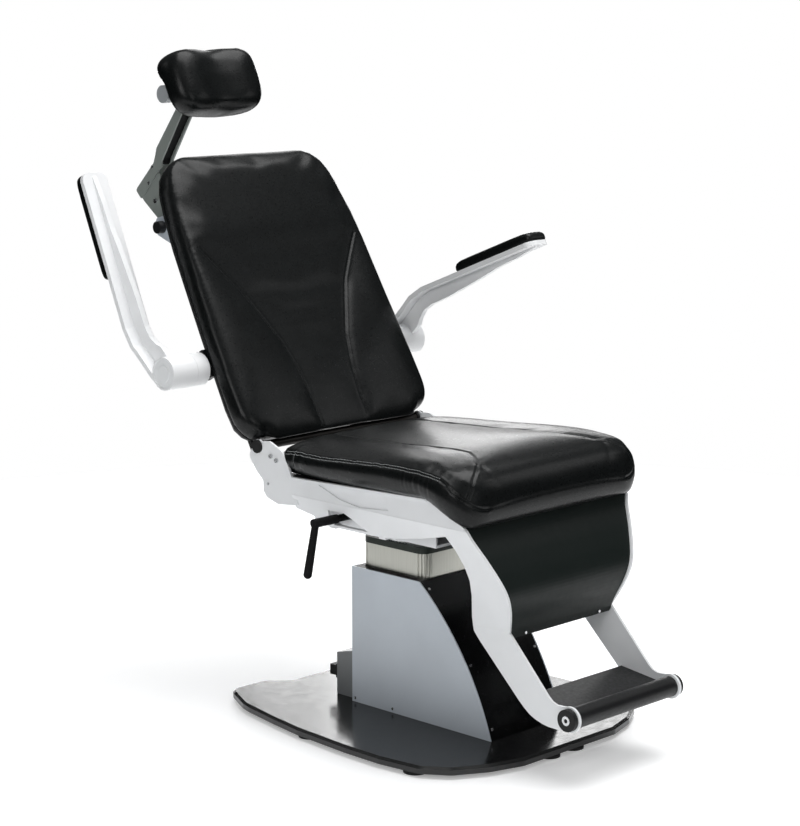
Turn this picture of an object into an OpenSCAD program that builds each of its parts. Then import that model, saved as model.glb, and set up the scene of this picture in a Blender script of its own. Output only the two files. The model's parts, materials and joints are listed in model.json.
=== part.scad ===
// Examination chair on a lifting and swivelling column.
// Frame: X to the patient's left, -Y to the front, Z up, origin on the floor under the column.

/* [Base] */
// Half of the width of the base plate
base_half_w = 354; // [330:1:380]
// Length of the base plate, front to back
base_l = 815; // [790:5:860]
// Thickness of the base plate
base_t = 16.5; // [12:0.5:20]
// Bevel along the upper edge of the base plate
base_bevel = 5; // [2:0.5:8]
// Height of the rubber feet
foot_h = 10; // [8:0.5:14]
// Radius of the rubber feet
foot_r = 26; // [20:1:32]

/* [Pedestal] */
// Half of the width over the pedestal's side panels
ped_half_w = 116.3; // [114:0.5:125]
// Back face of the pedestal, behind the column axis
ped_back = 108.8; // [106:0.5:116]
// Front edge of the pedestal at its top
ped_top_front = 101.5; // [101:0.5:106]
// Front edge of the pedestal at its foot
ped_foot_front = 315.2; // [300:1:330]
// Height of the pedestal above the base plate
ped_h = 314.8; // [305:1:320]
// Outward bow of the curved front
ped_bow = 27; // [15:1:35]
// Sheet thickness of the pedestal panels
ped_t = 3; // [2:0.5:4]
// Height of the power box behind the pedestal
box_h = 98; // [80:1:120]
// Depth of the power box
box_d = 66; // [55:1:80]

/* [Lifting column] */
// Half of the width of the column profile
col_half = 97.2; // [94:0.2:97.4]
// Corner radius of the column profile
col_corner = 27; // [20:1:32]
// Wall of the column profile
col_wall = 8; // [6:0.5:10]
// Length of the column profile
col_l = 312; // [300:1:316]
// Height of the column collar's underside
collar_z = 397; // [395:1:420]
// Thickness of the collar
collar_t = 14; // [10:0.5:18]
// Half of the width of the fixed mast inside the profile
mast_half = 78; // [70:1:82]
// Radius of the lift actuator's rod
rod_r = 14; // [10:0.5:18]

/* [Swivel] */
// Radius of the swivel flange
flange_r = 92; // [80:1:95]
// Radius of the swivel spindle
spindle_r = 45; // [38:0.5:48]
// Height of the spindle above the flange
spindle_h = 62; // [56:1:66]
// Thickness of the swivel flange
flange_t = 26; // [20:1:30]

/* [Seat frame] */
// Half of the distance over the upright side plates
frame_half = 262; // [258:0.5:268]
// Thickness of the side plates
plate_t = 6; // [4:0.5:7]
// Height of the bend between the upright and the drawn-in plates
bend_z = 521; // [515:1:530]
// Front corner of the side plates at the bend, ahead of the column
leg_front = 376; // [370:1:384]
// Height of the drawn-in part of the legs
leg_h = 225; // [215:1:232]
// Angle at which the legs are drawn in
leg_tilt = 22.68; // [20:0.1:24]
// Height from the leg fold down to the foot bar's axis
foot_drop = 150; // [140:1:155]
// Distance from the leg fold forward to the foot bar's axis
foot_reach = 166.8; // [150:1:175]
// Angle of the seat, rising to the front
seat_tilt = 1.93; // [0:0.1:4]
// Height of the seat's support at the column axis
deck_z = 565; // [562:1:575]
// Radius of the foot bar
bar_r = 22; // [16:0.5:24]

/* [Seat cushion] */
// Overhang of the seat cushion over each side frame
seat_over = 23; // [10:1:33]
// Height of the seat cushion's sides
seat_side_h = 56; // [48:1:64]
// Crown of the seat cushion above its side seams
seat_crown = 25; // [14:1:32]
// Length of the seat cushion
seat_l = 600; // [580:1:610]
// Rear end of the seat cushion, behind the column
seat_rear = 198; // [190:1:204]

/* [Backrest] */
// Recline of the backrest at rest, from upright
back_tilt = 30.1; // [22:0.1:34]
// Length of the backrest
back_l = 698; // [680:1:710]
// Overhang of the backrest's foot over each side frame
back_over = 34; // [28:1:38]
// Narrowing of each side of the backrest at its top
back_taper = 45; // [30:1:60]
// Thickness of the backrest cushion
back_t = 55; // [48:1:55]
// Height of the recline pivot
recline_z = 613; // [611:1:616]
// Distance of the recline pivot behind the column axis
recline_y = 262; // [260:1:266]

/* [Armrests] */
// Outer radius of the arm hubs
hub_r = 37.5; // [34:0.5:40]
// Length of the tube between the backrest and an arm's hub
spacer_l = 35.2; // [30:0.1:42]
// Width of an arm
arm_w = 70; // [60:1:74]
// Reach of an arm from its hub to its tip
arm_reach = 505; // [480:1:520]
// Height of an arm's top over its hub axis
arm_rise = 95; // [88:1:100]
// Thickness of the arm pads
pad_t = 24; // [18:1:28]
// Angle of the lowered arm above the horizontal
arm_low_angle = 21.5; // [10:0.5:26]
// Angle through which an arm is raised
arm_swing_angle = 92; // [80:1:95]

/* [Headrest] */
// Half of the width of the headrest cushion
head_half = 128; // [118:1:135]
// Height of the headrest cushion
head_h = 158; // [145:1:165]
// Thickness of the headrest cushion
head_t = 80; // [70:1:88]
// Height of the headrest's swing pivot along the back, over the recline pivot
swing_up = 672.6; // [660:0.2:680]
// Distance of the headrest's swing pivot behind the recline pivot, square to the back
swing_out = 299; // [290:1:305]
// Width of the headrest's pair of stem plates
stem_w = 40; // [34:1:44]

/* [Hidden] */
$fn = 48;
over = 1;
gap = 0.3;
fit = 0.05;

// Places of the main planes and axes
base_top = foot_h + base_t;
ped_top = base_top + ped_h;
collar_top = collar_z + collar_t;
flange_top = collar_top + flange_t;
leg_y = -leg_front;
fold_z = bend_z - leg_h;
fold_in = leg_h * tan(leg_tilt);
leg_half = frame_half - fold_in;
seat_half = frame_half + seat_over;
back_half = frame_half + back_over;
fold_y_share = -0.16;
fold_y = leg_y + fold_y_share * leg_h;
bar_y = fold_y - foot_reach;
bar_z = fold_z - foot_drop;

// Colours
black = [0.06, 0.065, 0.065];
satin_black = [0.09, 0.1, 0.1];
white = [0.86, 0.88, 0.89];
panel_grey = [0.68, 0.71, 0.75];
alloy = [0.66, 0.67, 0.63];
steel = [0.55, 0.57, 0.58];
link_grey = [0.48, 0.51, 0.49];
collar_grey = [0.29, 0.33, 0.31];

// Helpers: outlines, rounding and placing
function unit(v) = v / norm(v);
function bend_points(p, q, s, r, n) =
    let (a = unit(p - q), b = unit(s - q), cosine = max(-0.9999, min(0.9999, a * b)),
         want = r / tan(acos(cosine) / 2), most = 0.48 * min(norm(p - q), norm(s - q)),
         d = min(want, most), t1 = q + a * d, t2 = q + b * d)
    [for (i = [0:n]) let (u = i / n) (1 - u) * (1 - u) * t1 + 2 * u * (1 - u) * q + u * u * t2];
function rounded(pts, r, n = 4) =
    let (k = len(pts))
    [for (i = [0:k - 1])
        let (ri = is_list(r) ? r[i] : r)
        each (ri == 0 ? [pts[i]] : bend_points(pts[(i + k - 1) % k], pts[i], pts[(i + 1) % k], ri, n))];
function shares_at(shares, size, at = [0, 0]) = [for (p = shares) at + p * size];
function flip_x(pts) = [for (i = [len(pts) - 1:-1:0]) [-pts[i].x, pts[i].y]];
function two_sided(pts) = concat(pts, flip_x(pts));
function arc_points(p, q, bow, n) =
    let (chord = norm(q - p), radius = (chord * chord / 4 + bow * bow) / (2 * bow),
         d = unit(q - p), side = [-d.y, d.x], mid = (p + q) / 2, centre = mid - side * (radius - bow),
         half = asin(chord / 2 / radius))
    [for (i = [0:n]) let (a = -half + 2 * half * i / n)
        centre + radius * (d * sin(a) + side * cos(a))];

// A plate whose outline is drawn in Y and Z, and which runs from x = at to x = at + t
module plate_x(pts, at, t) {
    translate([at, 0, 0]) rotate([90, 0, 90]) linear_extrude(t) polygon(pts);
}
// A plate outlined in X and Z, from y = at to y = at + t
module plate_y(pts, at, t) {
    translate([0, at + t, 0]) rotate([90, 0, 0]) linear_extrude(t) polygon(pts);
}
module rod_x(r, from, to) {
    translate([from, 0, 0]) rotate([0, 90, 0]) cylinder(r = r, h = to - from);
}
module rod_y(r, from, to) {
    translate([0, to, 0]) rotate([90, 0, 0]) cylinder(r = r, h = to - from);
}
module at_yz(y, z) { translate([0, y, z]) children(); }
module side(s) { if (s < 0) mirror([1, 0, 0]) children(); else children(); }
module both() { children(); mirror([1, 0, 0]) children(); }
module rounded_square(half, r) {
    polygon(rounded([[half, -half], [half, half], [-half, half], [-half, -half]], r, 6));
}

// Base
base_shares = [[0, -0.544], [0.424, -0.54], [0.65, -0.51], [0.85, -0.459], [0.963, -0.39],
    [1, -0.262], [0.997, -0.135], [0.98, -0.036], [0.963, 0.065], [0.918, 0.182], [0.888, 0.245],
    [0.858, 0.309], [0.833, 0.345], [0.7, 0.459], [0.435, 0.456], [0.297, 0.4], [0, 0.4]];
base_round_share = 0.09;
foot_place_shares = [[0.885, -0.345], [0.11, -0.505], [0.86, 0.06], [0.64, 0.39]];
foot_rim = 4;
function base_outline(inset) =
    let (half = [for (p = base_shares) [p.x * (base_half_w - inset), p.y * (base_l - 2 * inset)]],
         right = [for (i = [1:len(half) - 2]) half[i]])
    rounded(two_sided(right), base_round_share * base_half_w, 3);

module base_plate() color(black) {
    translate([0, 0, foot_h]) linear_extrude(base_t - base_bevel) polygon(base_outline(0));
    for (i = [0:2]) {
        step = base_bevel / 3;
        translate([0, 0, foot_h])
            linear_extrude(base_t - base_bevel + (i + 1) * step) polygon(base_outline((i + 1) * step));
    }
}
module foot_pad() {
    cylinder(r = foot_r, h = foot_h - foot_rim);
    translate([0, 0, foot_h - foot_rim]) cylinder(r = foot_r - foot_rim, h = foot_rim);
}
module base_feet() color(satin_black) {
    foot_pad();
    for (p = foot_place_shares) both() translate([p.x * base_half_w, p.y * base_l, 0]) foot_pad();
}

// Pedestal
front_steps = 16;
back_pt = [ped_back, base_top];
front_curve = arc_points([-ped_foot_front, base_top], [-ped_top_front, ped_top], ped_bow, front_steps);
inner_curve = arc_points([-ped_foot_front + ped_t, base_top], [-ped_top_front + ped_t, ped_top],
    ped_bow, front_steps);
ped_outline = concat([back_pt], [[ped_back, ped_top]],
    [for (i = [len(front_curve) - 1:-1:0]) front_curve[i]]);
flange_w = 18;
col_slot = 1;
module pedestal_side(s) color(panel_grey) side(s) {
    plate_x(ped_outline, ped_half_w - ped_t, ped_t);
    translate([ped_half_w - ped_t - flange_w, ped_back - ped_t, base_top])
        cube([flange_w, ped_t, ped_h]);
}
module pedestal_back_cover() color(panel_grey)
    translate([-ped_half_w + ped_t + flange_w + gap, ped_back - ped_t, base_top])
        cube([2 * (ped_half_w - ped_t - flange_w - gap), ped_t, ped_h - ped_t]);
module pedestal_top_cover() color(black)
    difference() {
        translate([-ped_half_w + ped_t + gap, -ped_top_front + ped_t + gap, ped_top - ped_t])
            cube([2 * (ped_half_w - ped_t - gap), ped_top_front + ped_back - 2 * ped_t - 2 * gap, ped_t]);
        translate([0, 0, ped_top - ped_t - over]) linear_extrude(ped_t + 2 * over)
            rounded_square(col_half + col_slot, col_corner);
    }
module pedestal_front_cover() color(black)
    plate_x(concat(front_curve, [for (i = [len(inner_curve) - 1:-1:0]) inner_curve[i]]),
        -ped_half_w + ped_t + gap, 2 * (ped_half_w - ped_t - gap));
screw_r = 3.2;
screw_h = 2;
side_screw_shares = [[0.9, 0.03], [-0.19, 0.03]];
cover_screw_index = [1, 7, 15];
cover_screw_in = 9;
module pedestal_screws() color(steel) {
    for (p = side_screw_shares) both()
        translate([0, p.x * ped_back, base_top + p.y * ped_h])
            rod_x(screw_r, ped_half_w, ped_half_w + screw_h);
    for (i = cover_screw_index) both()
        let (p = front_curve[i], d = unit(front_curve[i + 1] - front_curve[i - 1]))
            translate([ped_half_w - ped_t - cover_screw_in, p.x, p.y])
                rotate([atan2(d.y, d.x) + 90, 0, 0]) rotate([90, 0, 0])
                    translate([0, 0, -screw_h]) cylinder(r = screw_r, h = screw_h);
}
box_half = 100;
box_slope = 16;
box_y = ped_back + gap;
box_wall = 3;
module power_box() color(panel_grey) {
    difference() {
        plate_x([[box_y, base_top], [box_y + box_d, base_top], [box_y + box_d, base_top + box_h],
            [box_y, base_top + box_h + box_slope]], -box_half, 2 * box_half);
        plate_x([[box_y + box_wall, base_top - over], [box_y + box_d - box_wall, base_top - over],
            [box_y + box_d - box_wall, base_top + box_h - box_wall],
            [box_y + box_wall, base_top + box_h - box_wall]],
            -box_half + box_wall, 2 * (box_half - box_wall));
    }
}
inlet_w = 30;
inlet_h = 24;
inlet_l = 26;
inlet_rim = 4;
inlet_flange = 2.5;
inlet_wall = 3;
inlet_x = -82;
inlet_z = 79;
pin_w = 4;
pin_t = 2;
pin_l = 14;
pin_pitch = 7;
module power_inlet() color(black)
    translate([inlet_x, box_y + box_d + gap / 3, inlet_z]) {
        difference() {
            union() {
                translate([-inlet_w / 2 - inlet_flange, 0, -inlet_h / 2 - inlet_rim])
                    cube([inlet_w + 2 * inlet_flange, inlet_rim, inlet_h + 2 * inlet_rim]);
                translate([-inlet_w / 2, 0, -inlet_h / 2]) cube([inlet_w, inlet_l, inlet_h]);
            }
            translate([-inlet_w / 2 + inlet_wall, inlet_rim, -inlet_h / 2 + inlet_wall])
                cube([inlet_w - 2 * inlet_wall, inlet_l, inlet_h - 2 * inlet_wall]);
        }
        for (i = [-1:1])
            translate([i * pin_pitch - pin_t / 2, inlet_rim - over, -pin_w / 2 + abs(i) * pin_w / 2])
                cube([pin_t, pin_l, pin_w]);
    }

// Lifting column
mast_wall = 5;
mast_drop = 18;
mast_top = ped_top - mast_drop;
mast_foot_t = 10;
glide_h = 60;
glide_w = 60;
glide_t = col_half - col_wall - mast_half - gap;
module column_mast() color(steel) {
    translate([0, 0, base_top]) linear_extrude(mast_foot_t) difference() {
        square(2 * (mast_half + mast_wall), center = true);
        square(2 * (mast_half - mast_wall), center = true);
    }
    translate([0, 0, base_top]) linear_extrude(mast_top - base_top) difference() {
        square(2 * mast_half, center = true);
        square(2 * (mast_half - mast_wall), center = true);
    }
}
module column_glides() color(satin_black)
    for (a = [0:90:270]) rotate([0, 0, a])
        translate([mast_half, -glide_w / 2, mast_top - glide_h]) cube([glide_t, glide_w, glide_h]);
act_r = 32;
act_wall = 4;
act_h = 225;
gland_h = 22;
motor_r = 42;
motor_h = 90;
module lift_actuator() color(steel) translate([0, 0, base_top]) {
    difference() {
        union() {
            cylinder(r = act_r, h = act_h);
            cylinder(r = motor_r, h = motor_h);
        }
        translate([0, 0, mast_foot_t]) cylinder(r = act_r - act_wall, h = act_h - gland_h - mast_foot_t);
        translate([0, 0, act_h - gland_h - over]) cylinder(r = rod_r + fit, h = gland_h + 2 * over);
    }
}
flute_r = 2.2;
flute_n = 4;
flute_pitch = 16;
col_bottom = collar_z - col_l;
corner_centre = col_half - col_corner;
module column_profile() color(alloy)
    translate([0, 0, col_bottom]) linear_extrude(col_l) difference() {
        rounded_square(col_half, col_corner);
        rounded_square(col_half - col_wall, col_corner - col_wall);
        for (q = [0:90:270], i = [0:flute_n - 1])
            rotate(q) translate([corner_centre, corner_centre])
                rotate(45 + (i - (flute_n - 1) / 2) * flute_pitch)
                    translate([col_corner, 0]) circle(r = flute_r, $fn = 16);
    }
module column_collar() color(collar_grey)
    translate([0, 0, collar_z]) linear_extrude(collar_t)
        rounded_square(col_half + col_slot / 2, col_corner);
rod_l = 290;
module lift_rod() color(steel)
    translate([0, 0, collar_z - rod_l]) cylinder(r = rod_r, h = rod_l);

// Swivel
module swivel_spindle() color(steel) translate([0, 0, collar_top]) {
    cylinder(r = flange_r, h = flange_t);
    translate([0, 0, flange_t]) cylinder(r = spindle_r, h = spindle_h);
}
tray_t = 6;
tray_z = 455;
bearing_z = flange_top + gap;
bearing_in = 2;
module swivel_bearing() color(satin_black)
    translate([0, 0, bearing_z]) difference() {
        cylinder(r = flange_r - bearing_in, h = tray_z - bearing_z);
        translate([0, 0, -over]) cylinder(r = spindle_r + bearing_in, h = tray_z - bearing_z + 2 * over);
    }
housing_wall = 16;
housing_top = flange_top + spindle_h + bearing_in;
stud_y = 16;
stud_z = 486;
stud_r = 8;
boss_half = 14;
boss_l = 38;
module swivel_housing() color(steel) difference() {
    union() {
        translate([0, 0, tray_z + tray_t])
            cylinder(r = spindle_r + housing_wall, h = housing_top - tray_z - tray_t);
        translate([-spindle_r - boss_l, stud_y - boss_half, tray_z + tray_t])
            cube([boss_l, 2 * boss_half, housing_top - tray_z - tray_t]);
    }
    translate([0, 0, tray_z]) cylinder(r = spindle_r + fit, h = spindle_h + flange_t);
    at_yz(stud_y, stud_z) rod_x(stud_r + fit, -2 * spindle_r - boss_l, -spindle_r / 2);
}

// Seat frame
function deck(y) = deck_z - y * tan(seat_tilt);
pan_t = 8;
rail_h = 25;
rail_w = 40;
rail_front = -240;
rail_rear = 90;
rail_wall = 3;
tray_half = 209;
tray_wall = 4;
tray_low = 500;
wall_slope = 5;
tray_front = rail_front;
tray_rear = rail_rear + rail_w;
lug_places = [-110, 44];
lug_w = 20;
lug_h = 22;
function lug_x(z) = frame_half - plate_t / cos(leg_tilt) - (bend_z - z) * tan(leg_tilt);
function rail_bottom(y) = deck(y) - pan_t - rail_h;
module seat_tray() color(white) difference() {
    union() {
        translate([-tray_half, tray_front, tray_z])
            cube([2 * tray_half, tray_rear - tray_front, tray_t]);
        for (s = [-1, 1]) side(s)
            plate_x([[tray_front, tray_z], [tray_rear, tray_z], [tray_rear, rail_bottom(tray_rear)],
                [rail_rear, rail_bottom(rail_rear)], [rail_rear - wall_slope, tray_low],
                [rail_front + rail_w + wall_slope, tray_low],
                [rail_front + rail_w, rail_bottom(rail_front + rail_w)],
                [tray_front, rail_bottom(tray_front)]], tray_half - tray_wall, tray_wall);
        for (y = lug_places) both() plate_y([[tray_half - over, tray_z], [lug_x(tray_z), tray_z],
            [lug_x(tray_z + lug_h), tray_z + lug_h], [lug_x(tray_z + lug_h) - tray_wall, tray_z + lug_h],
            [lug_x(tray_z + tray_t) - tray_wall, tray_z + tray_t], [tray_half - over, tray_z + tray_t]],
            y, lug_w);
    }
    translate([0, 0, tray_z - over]) cylinder(r = spindle_r + bearing_in, h = tray_t + 2 * over);
    at_yz(stud_y, stud_z) rod_x(stud_r + bearing_in, -tray_half - over, -tray_half + tray_wall + over);
}
module seat_rails() color(steel)
    for (y = [rail_front, rail_rear]) difference() {
        plate_x([[y, rail_bottom(y)], [y + rail_w, rail_bottom(y + rail_w)],
            [y + rail_w, rail_bottom(y + rail_w) + rail_h], [y, rail_bottom(y) + rail_h]],
            -frame_half + plate_t, 2 * (frame_half - plate_t));
        plate_x([[y + rail_wall, rail_bottom(y) + rail_wall],
            [y + rail_w - rail_wall, rail_bottom(y + rail_w) + rail_wall],
            [y + rail_w - rail_wall, rail_bottom(y + rail_w) + rail_h - rail_wall],
            [y + rail_wall, rail_bottom(y) + rail_h - rail_wall]],
            -frame_half, 2 * frame_half);
    }

wall_rear_share = 2.338;
wall_front_share = 0.502;
wall_shares = [[0.444, 0.218], [0.227, 0.129], [0.027, 0.027], [0, 0], [-0.003, -0.005]];
leg_shares = [[0.003, 0.004], [-0.031, -0.089], [-0.129, -0.253], [-0.213, -0.418], [-0.262, -0.54],
    [-0.276, -0.64], [-0.258, -0.764], [-0.215, -0.88], [-0.16, -1.006], [0.298, -1.006], [0.278, -0.92],
    [0.191, -0.676], [0.156, -0.52], [0.169, -0.378], [0.222, -0.222], [0.298, -0.098],
    [0.653, -0.178], [0.933, -0.231], [1.142, -0.258], [1.351, -0.267], [1.956, -0.267],
    [2.111, -0.187], [2.33, -0.142], [2.33, 0.004]];
window_shares = [[1.57, -0.12], [1.37, -0.24], [1.83, -0.24], [1.88, -0.2], [1.86, -0.09],
    [1.64, -0.085]];
recess_shares = [[1.956, 0.151], [1.067, 0.175], [1, 0.044], [1.378, 0.013], [1.649, 0.049]];
shin_shares = [[0.002, 0.022], [0, 0], [-0.72, -0.76], [-0.79, -0.815], [-0.88, -0.845], [-1.06, -0.835],
    [-1.1, -1.172], [-0.887, -1.187], [-0.74, -1.185], [-0.627, -1.167], [-0.5, -1.13], [-0.4, -1.087],
    [-0.29, -1.01], [-0.193, -0.927], [0.553, -0.213], [0.63, -0.13], [0.667, -0.087], [0.686, 0],
    [0.68, 0.022]];
ear_h = 124;
ear_low_shares = [[-1.03, -0.93], [-0.532, -0.984], [-0.234, -0.903], [-0.137, -0.79],
    [-0.137, -0.605], [0.048, -0.444], [0.25, -0.19]];
ear_front_shares = [[-0.3, 0.13], [-0.62, -0.01], [-0.774, -0.226], [-0.887, -0.46], [-1.03, -0.46]];
ear_top_r = 16;
ear_top = [for (a = [95:-27:-40]) [sin(a), cos(a)] * ear_top_r];
ear_round_shares = [0, 0.1, 0.12, 0.1, 0.1, 0.2, 0.15, 0, 0, 0, 0, 0, 0, 0.2, 0.12, 0.1, 0.05, 0];
ear_in = 4;
pin_r = 6;
lip_h = 5;
lip_t = 3;
recess_d = 2.5;
bar_eye_r = 27;
cap_r = 23.5;
edge_round = 1.2;
calf_bend = 260;
leg_bend_first = 1;
leg_bend_last = 7;
leg_points = rounded([for (p = leg_shares) [leg_y + p.x * leg_h, p.y * leg_h / cos(leg_tilt)]],
    [for (i = [0:len(leg_shares) - 1]) i >= leg_bend_first && i <= leg_bend_last ? calf_bend : 0], 3);
window_points = [for (p = window_shares) [leg_y + p.x * leg_h, p.y * leg_h / cos(leg_tilt)]];
wall_rear = leg_y + wall_rear_share * leg_h;
wall_front = leg_y + wall_front_share * leg_h;
wall_points = concat([[wall_rear, bend_z - over], [wall_rear, deck(wall_rear)], [wall_front, deck(wall_front)]],
    shares_at(wall_shares, leg_h, [leg_y, bend_z]));
recline_r = 10;
module side_frame(s) color(white) side(s) difference() {
    union() {
        plate_x(wall_points, frame_half - plate_t, plate_t);
        plate_x([wall_points[1], wall_points[2], wall_points[2] - [0, lip_h],
            wall_points[1] - [0, lip_h]], frame_half - over, lip_t + over);
        translate([frame_half, 0, bend_z]) rotate([0, leg_tilt, 0])
            plate_x(leg_points, -plate_t, plate_t);
        plate_x(shares_at(shin_shares, foot_drop, [fold_y, fold_z]), leg_half - plate_t, plate_t);
        at_yz(bar_y, bar_z) rod_x(bar_eye_r, leg_half - plate_t, leg_half);
        at_yz(recline_y, recline_z) plate_x(rounded(concat(ear_low_shares * ear_h, ear_top,
            ear_front_shares * ear_h), ear_round_shares * ear_h, 4),
            frame_half - plate_t - ear_in, plate_t);
    }
    plate_x(shares_at(recess_shares, leg_h, [leg_y, bend_z]), frame_half - recess_d, recess_d + over);
    translate([frame_half, 0, bend_z]) rotate([0, leg_tilt, 0])
        plate_x(window_points, -2 * plate_t, 3 * plate_t);
    at_yz(recline_y, recline_z) rod_x(recline_r + fit, frame_half - 3 * plate_t, frame_half + plate_t);
    at_yz(bar_y, bar_z) rod_x(pin_r + fit, leg_half - 2 * plate_t, leg_half + plate_t);
}
pan_front = -258;
pan_rear = 185;
pan_gap = ear_in + gap;
module seat_pan() color(black)
    plate_x([[pan_front, deck(pan_front) - pan_t], [pan_rear, deck(pan_rear) - pan_t],
        [pan_rear, deck(pan_rear)], [pan_front, deck(pan_front)]],
        -frame_half + plate_t + pan_gap, 2 * (frame_half - plate_t - pan_gap));

// Calf panel, footplate and foot bar
calf_t = 10;
calf_in = 4;
calf_gap = 0.15;
calf_shares = [[0.008, 0.02], [0, 0], [-0.031, -0.089], [-0.129, -0.253], [-0.213, -0.418],
    [-0.262, -0.54], [-0.276, -0.64], [-0.258, -0.764], [-0.22, -0.88], [-0.2, -0.982], [-0.175, -1.06]];
calf_low_share = 1.06;
calf_top_share = 0.02;
calf_corner = 34;
calf_clear = 4;
calf_screw_in = 48;
calf_screw_x = leg_half - calf_screw_in;
calf_screw_y_share = -0.1897;
calf_screw_z_share = -1.03;
function leg_inner(z) = frame_half - plate_t / cos(leg_tilt) - calf_gap - max(0, bend_z - z) * tan(leg_tilt);
module calf_panel() color(satin_black) intersection() {
    let (outer = [for (p = calf_shares) [leg_y + calf_in + p.x * leg_h, bend_z + p.y * leg_h]],
         inner = [for (i = [len(calf_shares) - 1:-1:0])
            [leg_y + calf_in + calf_t + calf_shares[i].x * leg_h, bend_z + calf_shares[i].y * leg_h]])
        plate_x(rounded(concat(outer, inner), [for (i = [0:2 * len(calf_shares) - 1])
            i % len(calf_shares) == 0 || i % len(calf_shares) == len(calf_shares) - 1 ? 0 : calf_bend], 3),
            -frame_half, 2 * frame_half);
    let (low = bend_z - calf_low_share * leg_h - over, high = bend_z + calf_top_share * leg_h + over)
        plate_y(rounded([[leg_inner(fold_z), low], [leg_inner(fold_z), fold_z + calf_clear],
            [leg_inner(bend_z), bend_z], [leg_inner(bend_z), high], [-leg_inner(bend_z), high],
            [-leg_inner(bend_z), bend_z], [-leg_inner(fold_z), fold_z + calf_clear],
            [-leg_inner(fold_z), low]], [calf_corner, 0, 0, 0, 0, 0, 0, calf_corner], 5),
            2 * leg_y, abs(2 * leg_y));
}
plate_rear_y = -446;
plate_rear_z = 165;
tread_t = 5;
tread_lip = 18;
module footplate() color(black)
    plate_x([[plate_rear_y, plate_rear_z], [plate_rear_y, plate_rear_z - tread_lip],
        [plate_rear_y - tread_t, plate_rear_z - tread_lip], [plate_rear_y - tread_t, plate_rear_z - tread_t],
        [bar_y + bar_r + gap, bar_z + tread_t - tread_t], [bar_y + bar_r + gap, bar_z + tread_t]],
        -leg_half + plate_t + gap, 2 * (leg_half - plate_t - gap));
bar_bore = 17;
module foot_bar() color(black) at_yz(bar_y, bar_z) difference() {
    rod_x(bar_r, -leg_half + plate_t + gap, leg_half - plate_t - gap);
    rod_x(pin_r + fit, -leg_half, leg_half);
}
cap_t = 11;
washer_r = 10;
washer_bore = 4.5;
washer_t = 1.5;
module foot_bar_caps() color(black) both() at_yz(bar_y, bar_z) {
    rod_x(cap_r, leg_half + gap / 3, leg_half + cap_t);
    rod_x(pin_r, leg_half - plate_t - bar_bore, leg_half + over);
}
frame_bolt_shares = [[-0.354, -0.135], [-0.5, -0.19]];
rivet_share = [-0.273, -0.645];
bolt_r = 5;
bolt_h = 4;
module frame_screws() color(steel) {
    both() {
        at_yz(bar_y, bar_z) difference() {
            rod_x(washer_r, leg_half + cap_t + gap / 3, leg_half + cap_t + washer_t);
            rod_x(washer_bore, leg_half + cap_t, leg_half + cap_t + 2 * washer_t);
        }
        for (p = frame_bolt_shares) at_yz(recline_y + p.x * ear_h, recline_z + p.y * ear_h)
            rod_x(bolt_r, frame_half - ear_in, frame_half - ear_in + bolt_h);
        at_yz(recline_y + rivet_share.x * ear_h, recline_z + rivet_share.y * ear_h)
            rod_x(screw_r, frame_half - ear_in, frame_half - ear_in + screw_h);
        translate([calf_screw_x, leg_y + calf_in + calf_screw_y_share * leg_h,
            bend_z + calf_screw_z_share * leg_h])
            rod_y(screw_r, -screw_h, 0);
    }
}

// Clamping lever for the swivel
lever_gap = 60;
lever_hub_r = 10;
lever_reach = 121;
lever_turn = 12.4;
lever_root_r = 8;
lever_tip_r = 9.5;
lever_x = -frame_half - lever_gap;
neck_r = 6;
neck_x = lever_x + 2 * lever_root_r;
stud_end = spindle_r + 2 * bearing_in;
module clamp_lever() color(satin_black) at_yz(stud_y, stud_z) {
    difference() {
        rod_x(lever_hub_r, lever_x, -frame_half + lever_hub_r);
        rod_x(neck_r + fit, neck_x, -frame_half + 2 * lever_hub_r);
    }
    translate([lever_x + lever_root_r - over, 0, 0]) rotate([180 + lever_turn, 0, 0]) hull() {
        sphere(r = lever_root_r, $fn = 24);
        translate([0, 0, lever_reach]) sphere(r = lever_tip_r, $fn = 24);
    }
}
module clamp_stud() color(steel) at_yz(stud_y, stud_z) {
    rod_x(neck_r, neck_x + gap, -frame_half + 2 * lever_hub_r + over);
    rod_x(stud_r, -frame_half + 2 * lever_hub_r, -stud_end);
}

// Gas spring of the recline
spring_x = 100;
spring_drop = 104;
spring_z = recline_z - spring_drop;
spring_r = 14;
spring_bore = 10;
spring_rod_r = 6;
spring_front = -60;
spring_rear = 172;
spring_end = 20;
clamp_w = 20;
clamp_places = [-40, 96];
clamp_half = 18;
module gas_spring() color(satin_black) difference() {
    union() {
        translate([spring_x, 0, spring_z]) rod_y(spring_r, spring_front, spring_rear);
        for (y = clamp_places) translate([spring_x - clamp_half, y, tray_z + tray_t])
            cube([2 * clamp_half, clamp_w, spring_z - tray_z - tray_t]);
    }
    translate([spring_x, 0, spring_z]) {
        rod_y(spring_bore, spring_front + spring_end / 2, spring_rear - spring_end);
        rod_y(spring_rod_r + fit, spring_rear - spring_end - over, spring_rear + over);
    }
}
lever_len = 107.5;
mid_turn = 2.5;
eye_y = recline_y + lever_len * sin(mid_turn);
eye_t = 14;
eye_w = 26;
eye_h = 40;
eye_play_y = 1.2;
eye_play_z = 5.5;
spring_rod_in = 50;
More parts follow.
